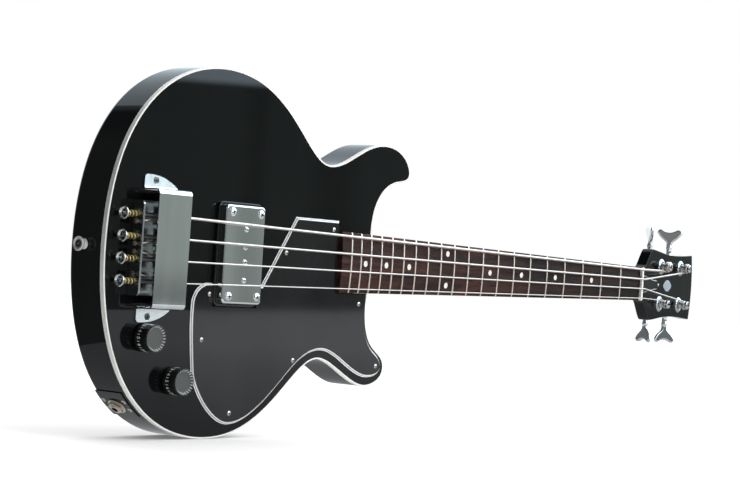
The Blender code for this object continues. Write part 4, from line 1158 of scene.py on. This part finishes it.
def make_bridge_cover():
    low, high = low_high("bridge_cover")
    half, sheet = COVER_HALF_WIDTH, COVER_SHEET
    cover = finish(along_x(cover_section(FACE - low.y), (low.x, high.x)), "bridge_cover_strip",
                   ("satin", "brushed"), node="bridge_cover", smooth=40)
    foot, fillet = FACE - GAP - sheet, 1.5
    feet, holes = [], []
    places = [(-17.0, foot, side * 58.6) for side in (-1, 1)]
    for side, place in zip((-1, 1), places):
        knots = (
            (low.x, 60.1, 90, 0, 2, 8),
            (low.x + 3.5, 63.6, 0, 2, 14, 16),
            (high.x, half + 1.6, -35, 14, 0, 0),
        )
        root = half - sheet - 0.6
        outline = [(x, side * z) for x, z in ((low.x, root), *smooth_path(knots), (high.x, root))]
        feet.append(tool(prism(outline, foot, FACE - GAP)))
        inner = [(half - 0.5, foot + 0.5), (half + fillet, foot + 0.5)]
        for angle in quarter(6):
            inner.append((half + fillet - fillet * sin(angle), foot - fillet + fillet * cos(angle)))
        inner.append((half - 0.5, foot - fillet))
        feet.append(tool(along_x([(side * z, y) for z, y in inner], (low.x + 0.01, high.x - 0.01))))
        holes.append(drill(3.3, -3, 0.9, place, (0, 1, 0), 28))
    combine(cover, feet, "UNION", smooth=40)
    combine(cover, holes, smooth=40)
    for face in cover.data.polygons:
        on_foot = abs(face.center.z) > (half + 0.1) * MM and abs(face.normal.y) > 0.9
        face.material_index = 1 if on_foot else 0
    soften(cover, 0.35)
    sunk = [(x, y + 0.6, z) for x, y, z in places]
    screws("bridge_cover_screws", sunk, DULL_SCREW, 3.0, 1.2)


def make_string(name, radius, side):
    """A string from its ball end, over the saddle and the nut, and onto its post."""
    low, _ = low_high("bridge_plate")
    saddle_low, saddle_high = low_high(f"saddle_{name}")
    saddle_x = (saddle_low.x + saddle_high.x) / 2
    bridge_z, nut_z = BRIDGE_Z[name], NUT_Z[name]
    post = on_head(f"tuner_post_{name}_turn")
    anchor = Vector((low.x - 2.7, SCREW_LEVEL, bridge_z - side * ANCHOR_OFFSET))
    height, nut_y, level = FACE - STRING_ABOVE_FACE, NUT_TOP - radius - GAP, -6.6
    wrap = POST_WAIST + radius * 0.97
    bends = [
        anchor,
        Vector((low.x + 3.3, SCREW_LEVEL, anchor.z)),
        Vector((saddle_x - 3.8, height, bridge_z - side * 0.3)),
        Vector((saddle_x + 1.5, height, bridge_z)),
        NECK @ Vector((SCALE_LENGTH + 1.2, nut_y, nut_z)),
        NECK @ Vector((SCALE_LENGTH + NUT_THICKNESS + 1.5, nut_y + 0.3, nut_z)),
        HEAD @ Vector((post.x, level, side * (abs(post.z) - wrap))),
    ]
    path = [anchor]
    for before, here, after in zip(bends, bends[1:], bends[2:]):
        reach = min(1.6, (here - before).length / 3, (after - here).length / 3)
        start = here + (before - here).normalized() * reach
        end = here + (after - here).normalized() * reach
        for share in (0, 0.5, 1):
            path.append(start * (1 - share) ** 2 + here * 2 * share * (1 - share) + end * share**2)
    path.append(bends[-1])
    finish(swept(path, radius, 16), f"string_run_{name}", "wound", node=f"string_{name}", smooth=60)
    profile = ((1.0, -2.0), (1.7, -1.9), (2.0, -1.2), (1.6, 0), (2.0, 1.2), (1.7, 1.9), (1.0, 2.0))
    # The ball end's brass is darkened as painted shade
    finish(turned(profile, anchor, (0, 0, 1), 24), f"string_ball_{name}", "tarnish", smooth=60)
    turns, steps = 3, 84
    coil = []
    for i in range(steps + 1):
        angle = -side * (pi / 2 + tau * turns * i / steps)
        rise = level - (2 * radius + 0.04) * turns * i / steps
        if i > steps * 0.6:
            rise = max(rise, 4.6 - POST_HEIGHT)
        coil.append((post.x + wrap * cos(angle), rise, post.z + wrap * sin(angle)))
    finish(swept(coil, radius), f"string_winding_{name}", "wound", f"tuner_post_{name}",
           place=HEAD, smooth=60)


# ---------------------------------------------------------------- pickup


def make_pickup():
    low, high = low_high("pickup_cover")
    outer = rounded_rectangle(low.x, high.x, low.z, high.z, 4.0, 10)
    middle = (low + high) / 2
    tilt = Matrix.Translation(middle) @ Matrix.Rotation(radians(-0.7), 4, "X") @ Matrix.Translation(-middle)
    cover = finish(rounded_prism(outer, low.y, high.y, 1.7, 8), "pickup_can", "satin",
                   node="pickup_cover", place=tilt, smooth=30)
    hollow = prism(grown(outer, -1.0), low.y + 1.0, high.y + 2)
    combine(cover, [tool(hollow, tilt)], smooth=30)
    corners = [(x, low.y, z) for x, z in ((72.4, 37.7), (72.4, -37.7), (109.6, 37.3), (109.6, -37.3))]
    screws("pickup_height_screws", corners, CHROME_SCREW, 4.0, 1.5, place=tilt)
    make_pole_screws(low.y, tilt)
    make_ring()
    repaint("pickup_coil", "copper")
    repaint("pickup_magnet", "nickel")


def make_pole_screws(top, tilt):
    """Slotted screws under the strings."""
    bm = bmesh.new()
    slots = []
    for i, z in enumerate(POLES_Z):
        centre = (POLES_X, top, z)
        profile = ((2.3, 0.2), (2.5, 0.0), (2.5, -0.5), (2.2, -0.9), (1.4, -1.1))
        add_loft(bm, rings(profile, centre, (0, 1, 0), 24))
        spin = Matrix.Translation(centre) @ Matrix.Rotation(0.4 + 0.9 * i, 4, "Y")
        slots.append(tool(box((-3, -2, -0.35), (3, -0.55, 0.35)), tilt @ spin))
    heads = finish(bm, "pole_screws", "chrome", place=tilt, smooth=30)
    combine(heads, slots, smooth=30)


def make_ring():
    low, high = low_high("pickup_ring")
    can_low, can_high = low_high("pickup_cover")
    edge = rounded_rectangle(low.x, high.x, low.z, high.z, 5.5, 10)
    inside = grown(rounded_rectangle(can_low.x, can_high.x, can_low.z, can_high.z, 4.0, 10), GAP)
    soft = 0.8
    levels = [(high.y, edge)]
    for angle in quarter(5):
        levels.append((low.y + soft * (1 - sin(angle)), grown(edge, -soft * (1 - cos(angle)))))
    levels += [(low.y, grown(inside, 0.3)), (low.y + 0.3, inside), (high.y, inside)]
    ring = loft(stack(levels), closed=True)
    finish(ring, "pickup_surround", "plastic", node="pickup_ring", smooth=30)


def repaint(node, look):
    """Gives a CAD node that keeps its mesh a better material."""
    materials = frame["nodes"][node].data.materials
    materials.clear()
    materials.append(LOOKS[look])


# ---------------------------------------------------------------- controls and fittings


def make_knob(name):
    """A barrel knob: numbered round its foot, with a fluted rim about a dished top."""
    body = f"{name}_knob"
    at = joint_point(f"{name}_knob_turn")
    base = Vector((at.x, FACE, at.z))
    top = FACE - low_high(body)[0].y
    # radius, height, how far the flutes cut in, how far they cut down, material
    profile = (
        (3.08, 1.3, 0, 0, 0), (11.9, 1.3, 0, 0, 0), (12.25, 1.6, 0, 0, 0), (12.35, 2.2, 0, 0, 0),
        (12.3, 3.4, 0, 0, 0), (12.05, 3.8, 0, 0, 0), (BARREL_FOOT, BARREL_LOW, 0, 0, 0),
        (BARREL_TOP, BARREL_LOW + BARREL_LENGTH, 0, 0, 0), (11.5, 14.6, 0, 0, 0), (11.75, 15.0, 0.7, 0, 0),
        (12.0, 16.2, 0.9, 0.2, 1), (11.8, top - 0.3, 0.8, 0.5, 1), (11.2, top, 0.3, 0.7, 1),
        (10.9, top - 0.2, 0, 0.7, 1), (9.3, top - 2.2, 0, 0.2, 1), (9.0, top - 2.4, 0, 0, 1),
        (8.2, top - 2.4, 0, 0, 1),
    )
    loops = []
    for radius, height, inward, down, _ in profile:
        loop = []
        for angle in full_turn(FLUTES * 8):
            cut = 0.5 - 0.5 * cos(angle * FLUTES)
            reach = radius - inward * cut
            rise = height - down * cut
            loop.append((base.x + reach * cos(angle), FACE - rise, base.z + reach * sin(angle)))
        loops.append(loop)
    bm = bmesh.new()
    # The rim and dished top take the second material, a painted sheen
    add_loft(bm, loops, slots=[row[-1] for row in profile])
    knob = finish(bm, f"{name}_dial", ("plastic", "crown"), body, body)
    combine(knob, [drill(3.08, -1, 13, base, (0, -1, 0))])
    make_teeth(name, base, top)
    make_numbers(name, base)
    repaint(f"{name}_shaft", "nickel")
    repaint(f"{name}_pot", "nickel")


def make_teeth(name, base, top):
    """Painted highlights: pale marks on the slope inside the knob's rim, one at each ridge, where the flutes
    catch the light.
    """
    bm = bmesh.new()
    for angle in full_turn(FLUTES):
        loops = []
        for radius, height in ((10.8, top - 0.35), (10.1, top - 1.2), (9.3, top - 2.15)):
            loop = []
            for across, lift in ((-0.42, -0.5), (0.42, -0.5), (0.3, 0.06), (-0.3, 0.06)):
                x = radius * cos(angle) - across * sin(angle)
                z = radius * sin(angle) + across * cos(angle)
                loop.append((base.x + x, FACE - height - lift, base.z + z))
            loops.append(loop)
        add_loft(bm, loops)
    finish(bm, f"{name}_ridge_highlights", "paint", f"{name}_knob", smooth=30)


def make_numbers(name, base):
    """The dial's numbers, 0 to 10, wrapped round the barrel, and a tick between each."""
    bm = bmesh.new()
    for number in range(11):
        angle = radians(30 + 30 * number)
        wrap_onto_barrel(bm, digits(number), angle, base)
        if number < 10:
            tick = tool(box((-0.25, -1.3, -0.12), (0.25, 1.3, 0.12)), Matrix.Scale(1 / MM, 4))
            wrap_onto_barrel(bm, tick.data, angle + radians(15), base)
            bpy.data.objects.remove(tick)
    finish(bm, f"{name}_numbers", "paint", f"{name}_knob", smooth=30)


def digits(number):
    """The mesh of a number, upright in the XY plane and centred."""
    text = bpy.data.curves.new("digits", "FONT")
    text.body = str(number)
    text.size = 4.9
    text.align_x = "CENTER"
    text.align_y = "CENTER"
    text.extrude = 0.12
    text.resolution_u = 3
    label = link_object(bpy.data.objects.new("digits", text))
    mesh = evaluated_mesh(label)
    bpy.data.objects.remove(label)
    return mesh


def wrap_onto_barrel(bm, mesh, angle, base):
    """Adds a flat mesh to bm, bent round the knob's barrel, with +Y towards the knob's top."""
    before = len(bm.verts)
    bm.from_mesh(mesh)
    bm.verts.ensure_lookup_table()
    for vert in bm.verts[before:]:
        across, up, out = vert.co
        height = NUMBER_LEVEL + up
        radius = BARREL_FOOT + (BARREL_TOP - BARREL_FOOT) * (height - BARREL_LOW) / BARREL_LENGTH + out
        around = angle + across / BARREL_FOOT
        vert.co = (base.x + radius * cos(around), FACE - height, base.z + radius * sin(around))


def jack_place():
    """The rim's outward direction and the point where the jack's axis meets the rim."""
    mount = next(m for m in frame["record"]["mounts"] if m["name"] == "jack_socket_end")
    outward = Vector(mount["axis"]).normalized()
    point = Vector(mount["pos_m"]) / MM - Vector((0, 4.0, 0))
    rim = [Vector((x, point.y, z)) for x, z in body_outline(BINDING_WIDTH)]
    near = min(rim, key=lambda p: (p - point).length)
    return outward, point + outward * (near - point).dot(outward)


def make_jack():
    outward, middle = jack_place()
    outline = body_outline(BINDING_WIDTH)
    here = Vector((middle.x, middle.z))
    near = [i for i, p in enumerate(outline) if (Vector(p) - here).length < 18.0]
    first, last = min(near), max(near)
    under, over = (grown(outline, offset)[first:last + 1] for offset in (0.05, 0.9))
    plate = finish(prism(under + over[::-1], middle.y - 16.0, middle.y + 16.0), "jack_mount",
                   "plastic", node="jack_plate", smooth=25)
    combine(plate, [drill(5.2, -6, 8, middle, outward, 32)], smooth=25)
    soften(plate, 0.4)
    places, normals = [], []
    for i in (first + 3, last - 3):
        x, z = grown(outline, 0.85)[i]
        along = (Vector(outline[i + 1]) - Vector(outline[i - 1])).normalized()
        places += [(x, middle.y + end * 12.5, z) for end in (-1, 1)]
        normals += [Vector((along.y, 0, -along.x))] * 2
    screws("jack_mount_screws", places, NICKEL_SCREW, 2.5, 1.0, direction=normals, spin=(0.4, 1.0))
    profile = ((3.2, 5.2), (4.4, 5.2), (4.75, 4.8), (4.75, 1.9), (8.6, 1.8), (8.8, 1.5), (8.8, 1.0),
               (4.75, 1.0), (4.75, -1.6), (8.0, -1.6), (8.0, -20), (3.2, -20))
    finish(turned(profile, middle, outward, 40, bore=True), "jack_barrel", "nickel",
           node="jack_socket")
    loops = []
    for level, share in ((1.8, 1.0), (3.9, 1.0), (4.3, 0.9)):
        loops.append([(x * share, y * share, level) for x, y in circle(7.0, 6, 0.2)])
    nut = finish(loft(loops), "jack_nut", "nickel", place=facing(middle, outward), smooth=20)
    combine(nut, [drill(4.8, -2, 9, middle, outward, 32)], smooth=20)


def make_strap_button(end, foot, outward):
    """A waisted button with a rounded rim, its screw in the dish, and a felt washer."""
    profile = (
        (0.02, GAP), (4.4, GAP), (4.6, 0.7), (4.3, 1.2), (3.6, 2.2), (3.4, 3.2), (3.6, 4.2), (4.5, 5.2),
        (5.7, 6.0), (6.2, 6.5), (6.3, 7.0), (6.1, 7.6), (5.6, 7.95), (5.1, 8.0), (4.6, 7.8), (4.1, 7.1),
        (0.02, 7.0),
    )
    finish(turned(profile, foot, outward, 48), f"strap_peg_{end}", "button",
           node=f"strap_button_{end}")
    screws(f"strap_peg_screw_{end}", [Vector(foot) + Vector(outward) * 7.1], DULL_SCREW, 3.7, 1.0,
           direction=outward)
    washer = ((3.0, 0.02), (5.0, 0.02), (5.1, 0.15), (5.0, 0.28), (3.0, 0.28))
    finish(turned(washer, foot, outward, 40, bore=True), f"strap_washer_{end}", "felt")


# ---------------------------------------------------------------- stage


def make_floor():
    """A pale floor under the instrument. It ends beside the tail, and some metres past the face."""
    away, ahead = Vector((0.74, -0.67, 0)), Vector((0.67, 0.74, 0))
    bm = bmesh.new()
    corners = ((-0.16, -9), (2.0, -9), (2.0, -1.19), (9, 1.26), (9, 9), (-0.16, 9))
    bm.faces.new([bm.verts.new(away * u + ahead * v) for u, v in corners])
    mesh = bpy.data.meshes.new("floor")
    bm.to_mesh(mesh)
    bm.free()
    floor = link_object(bpy.data.objects.new("floor", mesh))
    floor.location.z = min(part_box(node)[0].z for node in frame["nodes"]) - 0.0003
    mesh.materials.append(make_floor_look())


def make_floor_look():
    """Matte white. Its shadow is softened for the camera, and glossy rays see it dim up close."""
    look = bpy.data.materials.new("pale_floor")
    n = Shading(look)
    matte = n.tree.nodes["Principled BSDF"]
    for key, value in (("Base Color", (0.9, 0.9, 0.9)), ("Roughness", 0.9), ("Specular IOR Level", 0.0)):
        n.feed(value, matte.inputs[key])
    place = n.new("SeparateXYZ", {0: n.new("NewGeometry", {}).outputs["Position"]})
    distance = n.new("Math", {0: place.outputs["Y"]}, operation="ABSOLUTE").outputs["Value"]
    level = n.spread(distance, 0.52, 1.12, 0.1, 1.5)
    glow = n.new("Emission", {"Color": (0.93, 0.97, 1.0), "Strength": level}).outputs[0]
    white = n.new("Emission", {}).outputs[0]
    rays = n.new("LightPath", {}).outputs
    lifted = {0: n.times(rays["Is Camera Ray"], 0.15), 1: matte.outputs[0], 2: white}
    for_camera = n.new("MixShader", lifted).outputs[0]
    for_mirrors = n.new("MixShader", {0: rays["Is Glossy Ray"], 1: for_camera, 2: glow}).outputs[0]
    n.feed(for_mirrors, n.tree.nodes["Material Output"].inputs["Surface"])
    return look


def make_world():
    """Soft light from above on the headstock's side, a white backdrop and a dim room elsewhere."""
    world = bpy.data.worlds.new("studio")
    bpy.context.scene.world = world
    n = Shading(world)
    n.tree.nodes.clear()
    direction = n.new("TexCoord", {}).outputs["Generated"]

    def along(*axis):
        return n.new("VectorMath", {0: direction, 1: axis}, operation="DOT_PRODUCT").outputs["Value"]

    up, east, sweep, ahead = along(0, 0, 1), along(1, 0, 0), along(0.633, 0.771, 0), along(0.773, 0.635, 0)
    rays = n.new("LightPath", {}).outputs
    room = n.blend(n.step(up, -0.02, 0.0), (0.145, 0.16, 0.158), (0.25, 0.285, 0.275))
    for start, middle, end in ((-0.068, -0.0575, -0.049), (-0.038, -0.018, -0.002)):
        band = n.times(n.step(sweep, start, middle), n.step(sweep, middle, end, 1.0, 0.0))
        room = n.blend(n.times(band, 0.45), room, (0.05, 0.055, 0.055))
    dark = n.blend(n.step(up, 0.5, 0.7), (0.14, 0.145, 0.15), (0.05, 0.052, 0.056))
    dark = n.blend(n.step(ahead, -0.9, -0.7), (0.2, 0.2, 0.2), dark)
    room = n.blend(n.step(east, -0.12, -0.04), dark, room)
    room = n.blend(n.step(ahead, 0.88, 0.94), room, (1.0, 1.0, 1.0))
    softbox = n.times(n.step(up, 0.0835, 0.0875), n.step(east, -0.035, -0.015))
    seen_in_gloss = n.blend(n.step(along(0.77, -0.64, 0), 0.2, 0.7), (0.95, 1.1, 1.2), (2.4, 2.9, 3.3))
    box_colour = n.blend(rays["Is Glossy Ray"], (3.0, 3.0, 3.0), seen_in_gloss)
    lit = n.blend(rays["Is Camera Ray"], n.blend(softbox, room, box_colour), (1.0, 1.0, 1.0))
    background = n.new("Background", {"Color": lit})
    n.new("OutputWorld", {"Surface": background.outputs[0]})


def weigh_normals():
    """Keeps large faces flat in the light, where they meet small bevels."""
    for obj in bpy.context.scene.objects:
        if obj.type == "MESH" and obj not in frame["nodes"].values():
            obj.modifiers.new("weighted", "WEIGHTED_NORMAL").keep_sharp = True


CAMERA_LENS = 101.6
CAMERA_PLACE = (-1.28221, -1.32642, -0.00809)  # in metres


def make_camera():
    data = bpy.data.cameras.new("camera")
    data.sensor_width = 36.0
    data.lens = CAMERA_LENS
    data.clip_start = 0.05
    data.clip_end = 60.0
    camera = link_object(bpy.data.objects.new("camera", data))
    yaw, pitch, roll = radians(50.6), radians(0.62), radians(3.85)
    camera.matrix_world = (
        Matrix.Translation(CAMERA_PLACE)
        @ Matrix.Rotation(-yaw, 4, "Z")
        @ Matrix.Rotation(pi / 2 + pitch, 4, "X")
        @ Matrix.Rotation(roll, 4, "Z")
    )
    bpy.context.scene.camera = camera


# ---------------------------------------------------------------- assembly


def main():
    make_looks()
    for make in (make_body, make_binding, make_pickguard, make_back, make_neck, make_fretboard, make_nut,
                 make_head_trim, make_bridge, make_bridge_cover, make_pickup):
        make()
    repaint("truss_rod", "nickel")
    for name, radius, side, _, turn in STRINGS:
        make_string(name, radius, side)
        make_tuner(name, side, turn)
    for name in ("volume", "tone"):
        make_knob(name)
    make_jack()
    make_strap_button("tail", (TAIL, FACE + 24.5, 0), (-1, 0, 0))
    make_strap_button("heel", (258, 0, 46), (0, 1, 0))
    weigh_normals()
    make_floor()
    make_world()
    make_camera()
    bpy.context.scene.view_settings.view_transform = "Standard"


main()
